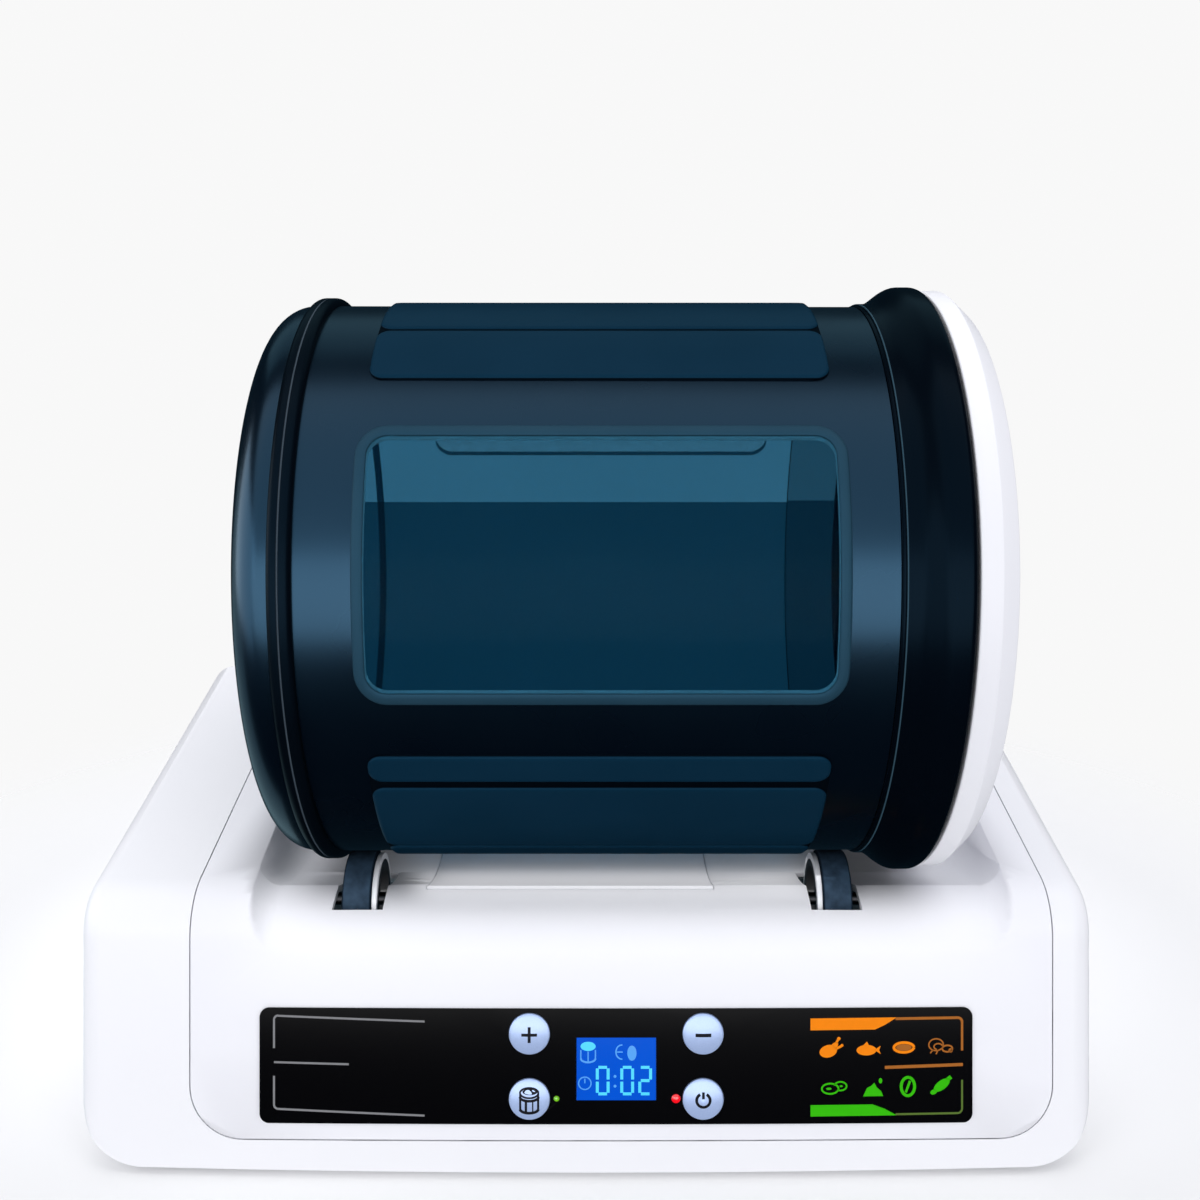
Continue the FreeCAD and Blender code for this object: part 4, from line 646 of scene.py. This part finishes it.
def digit(sign, left, low):
    """The lit strokes of one digit, with small gaps where they meet."""
    shapes = []
    for stroke in LIT_STROKES[sign]:
        x0, v0, x1, v1 = STROKES[stroke]
        ends = [left + x0 * DIGIT_WIDE, low + v0 * DIGIT_TALL,
                left + x1 * DIGIT_WIDE, low + v1 * DIGIT_TALL]
        if v0 == v1:
            ends[0] += STROKE_TRIM
            ends[2] -= STROKE_TRIM
        else:
            ends[1] -= STROKE_TRIM
            ends[3] += STROKE_TRIM
        shapes += stretch(*ends, STROKE_WIDE, 2)
    return shapes


CLOCK_LOW = 29.35
SIGN_X = -10.4
printed("display_digits", (
    digit("0", -7.0, CLOCK_LOW) + digit("0", 2.05, CLOCK_LOW) + digit("2", 8.7, CLOCK_LOW)
    + disc(SIGN_X, 46.9, 2.8, 1.7)), segment_glow, lift=lambda x, v: GLASS_LIFT, flat=True)
printed("display_signs", (
    disc(-0.45, 35.8, 0.55) + disc(-0.45, 32.2, 0.55)
    + bow(-11.6, 33.25, 2.3, 2.3, 0.0, 360.0, 0.45) + stretch(-11.6, 33.25, -11.6, 35.0, 0.45, 2)
    + bow(SIGN_X, 42.4, 2.7, 1.4, 180.0, 360.0, 0.7)
    + stretch(-13.1, 45.6, -13.1, 42.4, 0.5, 2) + stretch(-7.7, 45.6, -7.7, 42.4, 0.5, 2)
    + stretch(SIGN_X, 45.0, SIGN_X, 41.2, 0.5, 2)
    + bow(2.1, 44.8, 2.2, 2.6, 85.0, 275.0, 0.5) + stretch(0.0, 44.8, 2.4, 44.8, 0.45, 2)
    + disc(5.8, 44.4, 1.7, 2.8)), dim_glow, lift=lambda x, v: GLASS_LIFT, flat=True)

# Buttons and lamps.
# Four domed push buttons in pearl silver, each with its sign printed dark, and
# two small status lamps.

BUTTON_SIDE = 32.1
BUTTON_HIGH = 51.65
BUTTON_LOW = 27.55
BUTTON_CROWN = 2.4
BUTTON_RADIUS = 7.5
BUTTON_DOME = 1.2
BUTTON_CURVE = (BUTTON_RADIUS ** 2 + BUTTON_DOME ** 2) / (2.0 * BUTTON_DOME)
pearl = Finish("pearl_silver", (0.45, 0.56, 0.80), 0.32, Metallic=0.15, Specular_IOR_Level=0.3)
fleck = pearl.noise(2400.0, 2.0)
pearl.feed("Base Color", pearl.tint(fleck, (0.33, 0.43, 0.69), (0.42, 0.53, 0.77)))
pearl.feed("Roughness", 0.26 + fleck * 0.12)
dark_ink = inked("dark_ink", (0.010, 0.010, 0.014))


def sign_on_button(name, cx, cv, shapes, body):
    """A sign that lies on the button's dome."""
    def dome(x, v):
        out = math.hypot(x - cx, v - cv)
        return BUTTON_CROWN - BUTTON_CURVE + math.sqrt(BUTTON_CURVE ** 2 - out * out) + PRINT_RISE

    moved = [[(cx + x, cv + v) for x, v in outline] for outline in shapes]
    printed(name, moved, dark_ink, body, dome, True)


BUTTONS = (
    ("time_up", -BUTTON_SIDE, BUTTON_HIGH,
     stretch(-2.9, 0.0, 2.9, 0.0, 1.1, 4) + stretch(0.0, -2.9, 0.0, 2.9, 1.1, 4)),
    ("time_down", BUTTON_SIDE, BUTTON_HIGH, stretch(-2.9, -0.1, 2.9, -0.1, 1.3, 4)),
    ("tumble", -BUTTON_SIDE, BUTTON_LOW,
     disc(0.3, 3.1, 2.8, 1.1) + bow(0.0, 2.7, 3.4, 1.8, 0.0, 360.0, 0.7)
     + bow(0.0, 1.2, 3.4, 1.4, 180.0, 360.0, 1.0) + bow(0.0, -3.4, 3.3, 1.4, 180.0, 360.0, 1.1)
     + stretch(-3.3, 2.4, -3.3, -3.4, 0.8, 4) + stretch(3.3, 2.4, 3.3, -3.4, 0.8, 4)
     + stretch(-1.2, 0.0, -1.2, -4.7, 0.9, 4) + stretch(1.3, 0.0, 1.3, -4.6, 0.5, 4)),
    ("power", BUTTON_SIDE, BUTTON_LOW,
     bow(0.0, 0.0, 2.5, 2.5, 118.0, 422.0, 1.05) + stretch(0.0, 0.5, 0.0, 3.0, 1.0, 2)),
)
for name, x, v, shapes in BUTTONS:
    button = smoothed(name + "_button", angle=30.0, soft=0.25)
    seat(button, pearl, name, name + "_button", slot="silver_button")
    sign_on_button(name + "_sign", x, v, shapes, name)

for name, slot, color in (("tumble_lamp", "green_lamp", (0.14, 0.42, 0.012)),
                          ("power_lamp", "red_lamp", (0.82, 0.003, 0.010))):
    lamp_finish = Finish(name + "_lens", color, 0.15, Coat_Weight=0.2, Emission_Strength=0.60)
    cloud = lamp_finish.noise(500.0, 2.0)
    dim = tuple(c * 0.7 for c in color)
    lamp_finish.feed("Base Color", lamp_finish.tint(cloud, dim, color))
    lamp_finish.feed("Emission Color", lamp_finish.tint(cloud, dim, color))
    seat(smoothed(name, angle=30.0), lamp_finish, "base", name, slot=slot)

# Drum barrel.
# A tube moulded in smoked plastic, with three clear windows behind raised
# frames, and three ribbed pads between them to grip it by.

DRUM_Y = 6.5
DRUM_Z = 187.7
BARREL_RADIUS = 107.0
BARREL_WALL = 3.0
BARREL_BORE = BARREL_RADIUS - BARREL_WALL
BARREL_LEFT = -97.5
BARREL_RIGHT = 101.9
WINDOW = dict(middle=5.65, half=78.85, tall=44.37, corner=9.0)
PAD = dict(middle=5.0, half=78.0, tall=43.52, corner=9.0)
# the band of painted shade on the lining
PAINTED_SHADE = dict(middle=0.0, half=300.0, tall=51.5, corner=1.0)
WINDOW_LINE = 2.2
FIRST_WINDOW = 25.8
WINDOW_TURNS = [FIRST_WINDOW + 120.0 * step for step in range(3)]
PAD_TURNS = [turn + 60.0 for turn in WINDOW_TURNS]


def drum_point(x, across, radius, turn):
    """A point on the drum: across is the flat distance from the middle of the side turned to."""
    angle = math.radians(turn) + math.asin(max(-1.0, min(1.0, across / BARREL_RADIUS)))
    y = DRUM_Y - radius * math.cos(angle)
    z = DRUM_Z + radius * math.sin(angle)
    return Vector((x * MM, y * MM, z * MM))


def rounded_path(corners, step=12.0):
    """A closed outline of (x, r, round) corners with its rounds drawn as arcs."""
    path = []
    count = len(corners)
    for i, corner in enumerate(corners):
        here = Vector(corner[:2])
        size = corner[2] if len(corner) > 2 else 0.0
        back = Vector(corners[i - 1][:2]) - here
        ahead = Vector(corners[(i + 1) % count][:2]) - here
        if size <= 0.0 or back.length < 1e-6 or ahead.length < 1e-6:
            path.append(tuple(here))
            continue
        back.normalize()
        ahead.normalize()
        half = math.acos(max(-1.0, min(1.0, back.dot(ahead)))) / 2.0
        middle = (back + ahead).normalized() * (size / math.sin(half)) + here
        start = here + back * (size / math.tan(half)) - middle
        sweep = math.pi - 2.0 * half
        turn = 1.0 if back.x * ahead.y - back.y * ahead.x < 0.0 else -1.0
        parts = max(2, int(math.degrees(sweep) / step))
        for k in range(parts + 1):
            angle = turn * sweep * k / parts
            c, s = math.cos(angle), math.sin(angle)
            path.append((middle.x + start.x * c - start.y * s, middle.y + start.x * s + start.y * c))
    return path


ROUND_PARTS = 240


def turned(name, corners, finish, angle=28.0, step=12.0):
    """Turns a closed outline about the drum's axis."""
    outline = rounded_path(corners, step)
    build = bmesh.new()
    rings = []
    for x, radius in outline:
        if radius < 1e-4:
            rings.append([build.verts.new((x * MM, DRUM_Y * MM, DRUM_Z * MM))])
            continue
        ring = []
        for k in range(ROUND_PARTS):
            turn = math.tau * k / ROUND_PARTS
            y = DRUM_Y - radius * math.cos(turn)
            z = DRUM_Z + radius * math.sin(turn)
            ring.append(build.verts.new((x * MM, y * MM, z * MM)))
        rings.append(ring)
    for i, ring in enumerate(rings):
        ahead = rings[(i + 1) % len(rings)]
        if len(ring) == 1 and len(ahead) == 1:
            continue
        for k in range(ROUND_PARTS):
            n = (k + 1) % ROUND_PARTS
            if len(ring) == 1:
                build.faces.new((ring[0], ahead[k], ahead[n]))
            elif len(ahead) == 1:
                build.faces.new((ring[k], ahead[0], ring[n]))
            else:
                build.faces.new((ring[k], ahead[k], ahead[n], ring[n]))
    bmesh.ops.recalc_face_normals(build, faces=build.faces)
    return new_piece(name, build, finish, angle)


def loop_on_drum(shape, inset, radius, turn, build, arc=8, along=10, across=26):
    """One ring of points: the shape's outline, drawn in by inset, at a radius of the drum."""
    half = shape["half"] - inset
    tall = max(shape["tall"] - inset, 0.0)
    corner = max(min(shape["corner"] - inset, half, tall), 0.02)
    points = []
    ends = ((1, 1, 0.0), (-1, 1, 90.0), (-1, -1, 180.0), (1, -1, 270.0))
    for n, (sx, sy, first) in enumerate(ends):
        for k in range(arc + 1):
            angle = math.radians(first + 90.0 * k / arc)
            points.append((sx * (half - corner) + corner * math.cos(angle),
                           sy * (tall - corner) + corner * math.sin(angle)))
        tx, ty, tf = ends[(n + 1) % 4]
        a = math.radians(tf)
        target = (tx * (half - corner) + corner * math.cos(a), ty * (tall - corner) + corner * math.sin(a))
        last = points[-1]
        parts = along if n % 2 == 0 else across
        for k in range(1, parts):
            share = k / parts
            points.append((last[0] + (target[0] - last[0]) * share,
                           last[1] + (target[1] - last[1]) * share))
    return [build.verts.new(drum_point(shape["middle"] + x, t, radius, turn)) for x, t in points]


def bridge(build, first, second):
    """Faces between two rings of as many points."""
    count = len(first)
    for k in range(count):
        n = (k + 1) % count
        build.faces.new((first[k], first[n], second[n], second[k]))


def patch(build, shape, turn, steps, close=True, parts=7):
    """A curved patch on the drum, built from rings of (inset, radius), and filled if closed."""
    rings = [loop_on_drum(shape, inset, radius, turn, build) for inset, radius in steps]
    if close:
        inset, radius = steps[-1]
        for k in range(1, parts + 1):
            deeper = inset + (shape["tall"] - inset) * k / parts
            rings.append(loop_on_drum(shape, deeper, radius, turn, build))
    for first, second in zip(rings, rings[1:]):
        bridge(build, first, second)
    return rings


def inside_shape(finish, shape, turns, inset=0.0):
    """1 where the surface lies inside the shape, on any of the turned sides."""
    x, y, z = finish.place()
    mask = None
    for turn in turns:
        c, s = math.cos(math.radians(turn)), math.sin(math.radians(turn))
        out = (z - DRUM_Z) * s - (y - DRUM_Y) * c
        across = (z - DRUM_Z) * c + (y - DRUM_Y) * s
        corner = shape["corner"] - inset
        across_x = abs(x - shape["middle"]) - (shape["half"] - inset - corner)
        across_t = abs(across) - (shape["tall"] - inset - corner)
        far_x = across_x.floor_at(0.0)
        far_t = across_t.floor_at(0.0)
        outside = (far_x * far_x + far_t * far_t) ** 0.5
        covered = outside.math("LESS_THAN", corner) * out.math("GREATER_THAN", 0.0)
        mask = covered if mask is None else mask.math("MAXIMUM", covered)
    return mask


SMOKE_TINT = (0.25, 0.60, 0.98, 1.0)
SMOKE = (0.0004, 0.002, 0.005)
DEEP_SMOKE = (0.0002, 0.0012, 0.0035)
THIN_SMOKE = (0.0006, 0.0026, 0.0065)
LINING_GAP = 1.2
smoked = Finish("smoked_plastic", SMOKE, 0.28, Specular_IOR_Level=0.5, Specular_Tint=SMOKE_TINT)
drift = smoked.noise(7.0, 3.0)
smoked.feed("Base Color", smoked.tint(drift, DEEP_SMOKE, THIN_SMOKE))
smoked.feed("Roughness", 0.24 + smoked.noise(30.0) * 0.08)
opening = inside_shape(smoked, WINDOW, WINDOW_TURNS, WINDOW_LINE)
smoked.feed("Alpha", 1.0 - opening)
smoked.bump(smoked.noise(60.0, 2.0), 0.08, 0.0004)
barrel = turned("barrel_wall", [
    (BARREL_LEFT, BARREL_BORE + LINING_GAP), (BARREL_RIGHT, BARREL_BORE + LINING_GAP),
    (BARREL_RIGHT, BARREL_RADIUS - 0.3, 0.3), (BARREL_LEFT + 3.0, BARREL_RADIUS),
    (BARREL_LEFT, BARREL_RADIUS)], smoked)
seat(barrel, smoked, "drum", "drum_barrel", slot="smoked_drum")

# The wall's inner side is a lining of its own. Its faint glow is painted light that stands in
# for light through the smoked wall, and painted shade darkens it where a pad lies outside.
SHADE_SHIFT = 6.2
SLEEVE_LEFT = 94.0
SLEEVE_RIGHT = 122.0
SLEEVE_BORE = 100.95
lining = Finish("smoked_lining", (0.02, 0.06, 0.09), 0.6, Specular_IOR_Level=0.1, Emission_Strength=1.0)
painted_shade_band = inside_shape(lining, PAINTED_SHADE, [turn + SHADE_SHIFT for turn in PAD_TURNS])
cloudy = lining.noise(9.0, 3.0)
bright = lining.tint(cloudy, (0.12, 0.28, 0.37), (0.15, 0.33, 0.43))
dim = lining.tint(cloudy, (0.012, 0.070, 0.112), (0.018, 0.085, 0.134))
painted_wall_light = lining.tint(painted_shade_band, bright, dim)
x, y, z = lining.place()
joint = x.above(BARREL_LEFT - 3.3, 0.2) * (1.0 - x.above(BARREL_LEFT - 0.1, 0.2))
sleeve = x.above(SLEEVE_LEFT - 0.2, 0.2)
painted_wall_light = lining.tint((joint + sleeve * 0.55).math("MINIMUM", 1.0), painted_wall_light, (0.004, 0.020, 0.034))
lining.feed("Emission Color", painted_wall_light)
lining.feed("Base Color", lining.tint(painted_shade_band, (0.02, 0.06, 0.09), (0.004, 0.015, 0.028)))
lining.feed("Alpha", 1.0 - inside_shape(lining, WINDOW, WINDOW_TURNS, WINDOW_LINE))
lining.feed("Roughness", 0.34 + cloudy * 0.1)
CAP_FACE = -116.0
DOME_TURN = 93.0
linings = (
    ("barrel_bore", [
        (BARREL_LEFT, BARREL_BORE), (SLEEVE_LEFT, BARREL_BORE), (SLEEVE_LEFT, BARREL_BORE + 1.1),
        (BARREL_LEFT, BARREL_BORE + 1.1)]),
    ("sleeve_bore", [
        (SLEEVE_LEFT, SLEEVE_BORE), (SLEEVE_RIGHT, SLEEVE_BORE), (SLEEVE_RIGHT, SLEEVE_BORE + 0.15),
        (SLEEVE_LEFT, SLEEVE_BORE + 0.15)]),
    ("domed_bore", [
        (CAP_FACE + 1.7, 0.0), (CAP_FACE + 3.2, DOME_TURN), (CAP_FACE + 3.6, BARREL_BORE - 0.3, 9.0),
        (BARREL_LEFT, BARREL_BORE - 0.1), (BARREL_LEFT, BARREL_BORE),
        (CAP_FACE + 3.5, BARREL_BORE - 0.2, 9.0), (CAP_FACE + 3.1, DOME_TURN), (CAP_FACE + 1.6, 0.0)]),
)
for name, outline in linings:
    seat(turned(name, outline, lining), lining, "drum", slot="smoked_drum")

clear_pane = Finish("clear_pane", (0.165, 0.34, 0.44), 0.03, Transmission_Weight=1.0, IOR=1.04)
waver = clear_pane.noise(5.0, 2.0)
clear_pane.feed("Base Color", clear_pane.tint(waver, (0.155, 0.33, 0.43), (0.175, 0.35, 0.45)))
clear_pane.feed("Roughness", 0.02 + waver * 0.02)
frame_line = Finish("window_frame", (0.012, 0.040, 0.062), 0.5, Specular_IOR_Level=0.15,
                    Specular_Tint=SMOKE_TINT)
edge_wear = frame_line.noise(40.0, 3.0)
frame_line.feed("Base Color", frame_line.tint(edge_wear, (0.009, 0.034, 0.056), (0.014, 0.044, 0.068)))
frame_line.feed("Roughness", 0.45 + edge_wear * 0.1)
# The window reveals glow: painted light on the cut sides of the windows.
reveal = Finish("window_reveal", (0.03, 0.08, 0.11), 0.5, Specular_IOR_Level=0.1, Emission_Strength=1.0)
painted_light_cloud = reveal.noise(50.0, 2.0)
reveal.feed("Emission Color", reveal.tint(painted_light_cloud, (0.030, 0.085, 0.12), (0.045, 0.115, 0.155)))
reveal.feed("Roughness", 0.45 + painted_light_cloud * 0.1)
pad_plastic = Finish("grip_pad", (0.002, 0.018, 0.038), 0.4, Specular_IOR_Level=0.045,
                     Specular_Tint=SMOKE_TINT)
rubbed = pad_plastic.noise(24.0, 3.0)
# the pads' bed below the raised strips is painted near-black: painted shade in the grooves
painted_groove_shading = 1.0 - off_axis(pad_plastic, DRUM_Y, DRUM_Z).above(BARREL_RADIUS + 0.5, 0.3)
worn = pad_plastic.tint(rubbed, (0.0015, 0.017, 0.035), (0.0025, 0.023, 0.048))
pad_plastic.feed("Base Color", pad_plastic.tint(painted_groove_shading, worn, (0.0002, 0.0010, 0.0025)))
pad_plastic.feed("Roughness", 0.34 + rubbed * 0.12 + painted_groove_shading * 0.3)
pad_plastic.bump(pad_plastic.noise(900.0, 2.0), 0.1, 0.0001)

RIB_OUT = 1.6
MERGE = 0.001 * MM
# From its outer foot over the top to its inner foot, a frame's section, as insets
# from the window's edge and heights above the barrel.
FRAME_SECTION = ((-RIB_OUT, -0.2), (0.2 - RIB_OUT, 0.3), (0.7 - RIB_OUT, 0.62), (WINDOW_LINE - 1.6, 0.7),
                 (WINDOW_LINE - 0.5, 0.62), (WINDOW_LINE - 0.1, 0.4), (WINDOW_LINE, -0.2))
panes = bmesh.new()
frames = bmesh.new()
reveals = bmesh.new()
for turn in WINDOW_TURNS:
    outer = patch(panes, WINDOW, turn, [(WINDOW_LINE - 0.2, BARREL_RADIUS - 0.1)])
    inner = patch(panes, WINDOW, turn, [(WINDOW_LINE - 0.2, BARREL_BORE + 0.2)])
    bridge(panes, outer[0], inner[0])
    section = [(inset, BARREL_RADIUS + rise) for inset, rise in FRAME_SECTION]
    patch(frames, WINDOW, turn, section, close=False)
    sides = [(WINDOW_LINE, BARREL_RADIUS - 0.25), (WINDOW_LINE, BARREL_BORE + 0.02)]
    patch(reveals, WINDOW, turn, sides, close=False)
bmesh.ops.remove_doubles(panes, verts=panes.verts, dist=MERGE)
bmesh.ops.recalc_face_normals(panes, faces=panes.faces)
bmesh.ops.recalc_face_normals(frames, faces=frames.faces)
for name, build, finish in (("window_panes", panes, clear_pane), ("window_frames", frames, frame_line),
                            ("window_reveals", reveals, reveal)):
    seat(new_piece(name, build, finish, 40.0), finish, "drum", slot="smoked_drum")

pads = bmesh.new()
PAD_RISE = 1.3
BED_RISE = 0.45
STRIP_ROUND = 5.0
PAD_STRIPS = (
    # middle of each raised strip, in degrees from the pad's middle, and half its height
    (-16.2, 14.3),
    (4.1, 21.9),
    (20.7, 6.0),
)
BED = BARREL_RADIUS + BED_RISE
STRIP_TOP = BARREL_RADIUS + PAD_RISE
for turn in PAD_TURNS:
    patch(pads, PAD, turn, [(0.0, BARREL_RADIUS - 0.2), (0.2, BED - 0.1), (0.6, BED)])
    for middle, tall in PAD_STRIPS:
        strip = dict(PAD, tall=tall, corner=STRIP_ROUND)
        patch(pads, strip, turn + middle, [
            (0.0, BED - 0.2), (0.2, STRIP_TOP - 0.5), (0.8, STRIP_TOP - 0.05), (1.8, STRIP_TOP)])
bmesh.ops.remove_doubles(pads, verts=pads.verts, dist=MERGE)
bmesh.ops.recalc_face_normals(pads, faces=pads.faces)
seat(new_piece("grip_pads", pads, pad_plastic, 40.0), pad_plastic, "drum", slot="smoked_drum")

# Closed end.
# The domed end is moulded in the same smoked plastic and welded to the barrel
# at a raised bead.

WELD_GAP = 0.1
CAP_SEAM = BARREL_LEFT - WELD_GAP
CAP_DEPTH = 18.4
CAP_CROWN = 1.5
CAP_END = CAP_SEAM - CAP_DEPTH
CAP_FLAT = BARREL_RADIUS - 13.0
end_plastic = Finish("smoked_end", SMOKE, 0.28, Specular_Tint=SMOKE_TINT)
swirl = end_plastic.noise(8.0, 3.0)
end_plastic.feed("Base Color", end_plastic.tint(swirl, DEEP_SMOKE, THIN_SMOKE))
end_plastic.feed("Roughness", 0.21 + end_plastic.noise(26.0) * 0.08)
cap = turned("domed_end", [
    (CAP_END - CAP_CROWN + BARREL_WALL, 0.0), (CAP_END + BARREL_WALL, CAP_FLAT, 20.0),
    (CAP_END + BARREL_WALL + 0.2, BARREL_BORE, 9.0), (CAP_SEAM, BARREL_BORE, 0.0),
    (CAP_SEAM, BARREL_RADIUS), (CAP_SEAM - 3.0, BARREL_RADIUS), (CAP_END, BARREL_RADIUS, 12.8),
    (CAP_END, CAP_FLAT), (CAP_END - CAP_CROWN, 0.0)], end_plastic, step=6.0)
seat(cap, end_plastic, "drum", "drum_end_cap", slot="smoked_drum")

# Seam bead.
# Where the domed end meets the barrel, a black bead with a fine groove covers the
# weld; the pale line along the groove is a painted highlight.

bead_black = Finish("bead_black", (0.0006, 0.0015, 0.003), 0.35, Specular_IOR_Level=0.05,
                    Specular_Tint=SMOKE_TINT)
x, y, z = bead_black.place()
scuff = bead_black.noise(30.0, 3.0)
# a painted highlight along the bead's groove
painted_groove_shading = 1.0 - abs(x - CAP_SEAM).above(0.12, 0.25)
body_black = bead_black.tint(scuff, (0.0005, 0.0015, 0.003), (0.0012, 0.003, 0.006))
bead_black.feed("Base Color", bead_black.tint(painted_groove_shading * 0.5, body_black, (0.12, 0.16, 0.20)))
bead_black.feed("Roughness", 0.30 + scuff * 0.1)
BEAD_FOOT = BARREL_RADIUS - 0.6
BEAD_CREST = BARREL_RADIUS + 3.0
bead = turned("seam_bead", [
    (CAP_SEAM - 4.0, BEAD_FOOT), (BARREL_LEFT + 4.0, BEAD_FOOT), (BARREL_LEFT + 3.9, BEAD_CREST, 2.4),
    (CAP_SEAM + 0.4, BEAD_CREST, 0.2), (CAP_SEAM, BEAD_CREST - 0.4, 0.1),
    (CAP_SEAM - 0.4, BEAD_CREST, 0.2), (CAP_SEAM - 3.9, BEAD_CREST, 2.4)], bead_black)
seat(bead, bead_black, "drum", slot="smoked_drum")

# Mouth ring.
# A near-black ring flares from the barrel to a rolled edge that the lid
# closes on; its spigot is pressed into the barrel.

MOUTH = BARREL_RIGHT + WELD_GAP
MOUTH_FACE = MOUTH + 23.2
NECK_RISE = 0.8
FLARE_RISE = 6.2
FLARE_LENGTH = 12.2
FLARE_PARTS = 12
CREST = BARREL_RADIUS + NECK_RISE + FLARE_RISE
SPIGOT = MOUTH - 8.0
SPIGOT_BORE = 101.0
SPIGOT_FIT = 103.9
GROOVE_FLOOR = BARREL_RADIUS - 0.1
black_gloss = Finish("black_gloss_ring", (0.001, 0.002, 0.004), 0.26, Specular_IOR_Level=0.045,
                     Specular_Tint=SMOKE_TINT)
streak = black_gloss.noise(10.0, 3.0)
x, y, z = black_gloss.place()
# a thin paler line at the step of the neck: a painted highlight
painted_step_highlight = x.above(MOUTH + 1.4, 0.2) * (1.0 - x.above(MOUTH + 1.8, 0.2))
ring_black = black_gloss.tint(streak, (0.0005, 0.0012, 0.003), (0.001, 0.003, 0.006))
black_gloss.feed("Base Color", black_gloss.tint(painted_step_highlight, ring_black, (0.03, 0.065, 0.09)))
flare = []
for k in range(FLARE_PARTS, -1, -1):
    share = 0.5 - 0.5 * math.cos(math.pi * k / FLARE_PARTS)
    flare.append((MOUTH + 4.0 + FLARE_LENGTH * k / FLARE_PARTS,
                  BARREL_RADIUS + NECK_RISE + FLARE_RISE * share))
ring = turned("mouth_ring", [
    (SPIGOT, SPIGOT_BORE), (MOUTH_FACE, SPIGOT_BORE, 0.5), (MOUTH_FACE, CREST, 3.0), *flare,
    (MOUTH + 1.6, BARREL_RADIUS + NECK_RISE, 0.4), (MOUTH + 1.2, GROOVE_FLOOR, 0.2),
    (MOUTH + 0.4, GROOVE_FLOOR, 0.2), (MOUTH, BARREL_RADIUS + 0.6, 0.2),
    (MOUTH, SPIGOT_FIT), (SPIGOT, SPIGOT_FIT)], black_gloss, angle=35.0)
seat(ring, black_gloss, "drum", "mouth_collar", slot="black_collar")

# Lid, gasket and valve.
# The white lid plugs the mouth on a soft gasket, and the knob in its middle
# is pulled to let the vacuum out.

LID_NEAR = MOUTH_FACE + 0.4
LID_FRONT = LID_NEAR + 14.5
LID_RADIUS = 112.7
LID_INSIDE = LID_FRONT - 3.0
PLUG_END = LID_NEAR - 10.0
PLUG_RADIUS = 99.6
PLUG_BORE = 96.6
GASKET_SEAT = LID_NEAR + 1.7
SEAT_FLOOR = LID_FRONT - 1.2
STEM_HOLE = 3.05
white_lid = Finish("white_lid", (0.85, 0.85, 0.88), 0.34, Specular_IOR_Level=0.06)
white_lid.moulded(shift=0.02, spread=0.06, grain=700.0, depth=0.00001, cloud=9.0)
x, y, z = white_lid.place()
radius = off_axis(white_lid, DRUM_Y, DRUM_Z)
# the lid's inner face, inside the drum, is painted dark blue-grey: painted shade
painted_inner_shade = (1.0 - radius.above(PLUG_RADIUS + 0.1, 0.1)) * (1.0 - x.above(LID_INSIDE + 0.1, 0.2))
pale = white_lid.tint(white_lid.noise(9.0, 3.0), (0.83, 0.83, 0.86), (0.85, 0.85, 0.88))
white_lid.feed("Base Color", white_lid.tint(painted_inner_shade, pale, (0.03, 0.055, 0.075)))
cover = turned("lid_moulding", [
    (LID_INSIDE, STEM_HOLE), (LID_INSIDE, PLUG_BORE), (PLUG_END, PLUG_BORE, 0.4),
    (PLUG_END, PLUG_RADIUS, 0.8), (LID_NEAR, PLUG_RADIUS), (LID_NEAR, 103.5), (GASKET_SEAT, 103.5),
    (GASKET_SEAT, 107.5), (LID_NEAR, 107.5), (LID_NEAR, LID_RADIUS, 0.6), (LID_NEAR + 7.2, LID_RADIUS, 0.9),
    (LID_FRONT, 106.0, 2.0), (LID_FRONT, 19.0, 0.8), (SEAT_FLOOR, 17.8, 0.3),
    (SEAT_FLOOR, STEM_HOLE)], white_lid, angle=30.0)
seat(cover, white_lid, "lid_set", "lid", slot="white_lid")
knob = smoothed("valve_knob", angle=30.0, soft=0.3)
seat(knob, grey_moulding, "valve", "valve_knob", slot="grey_plastic")
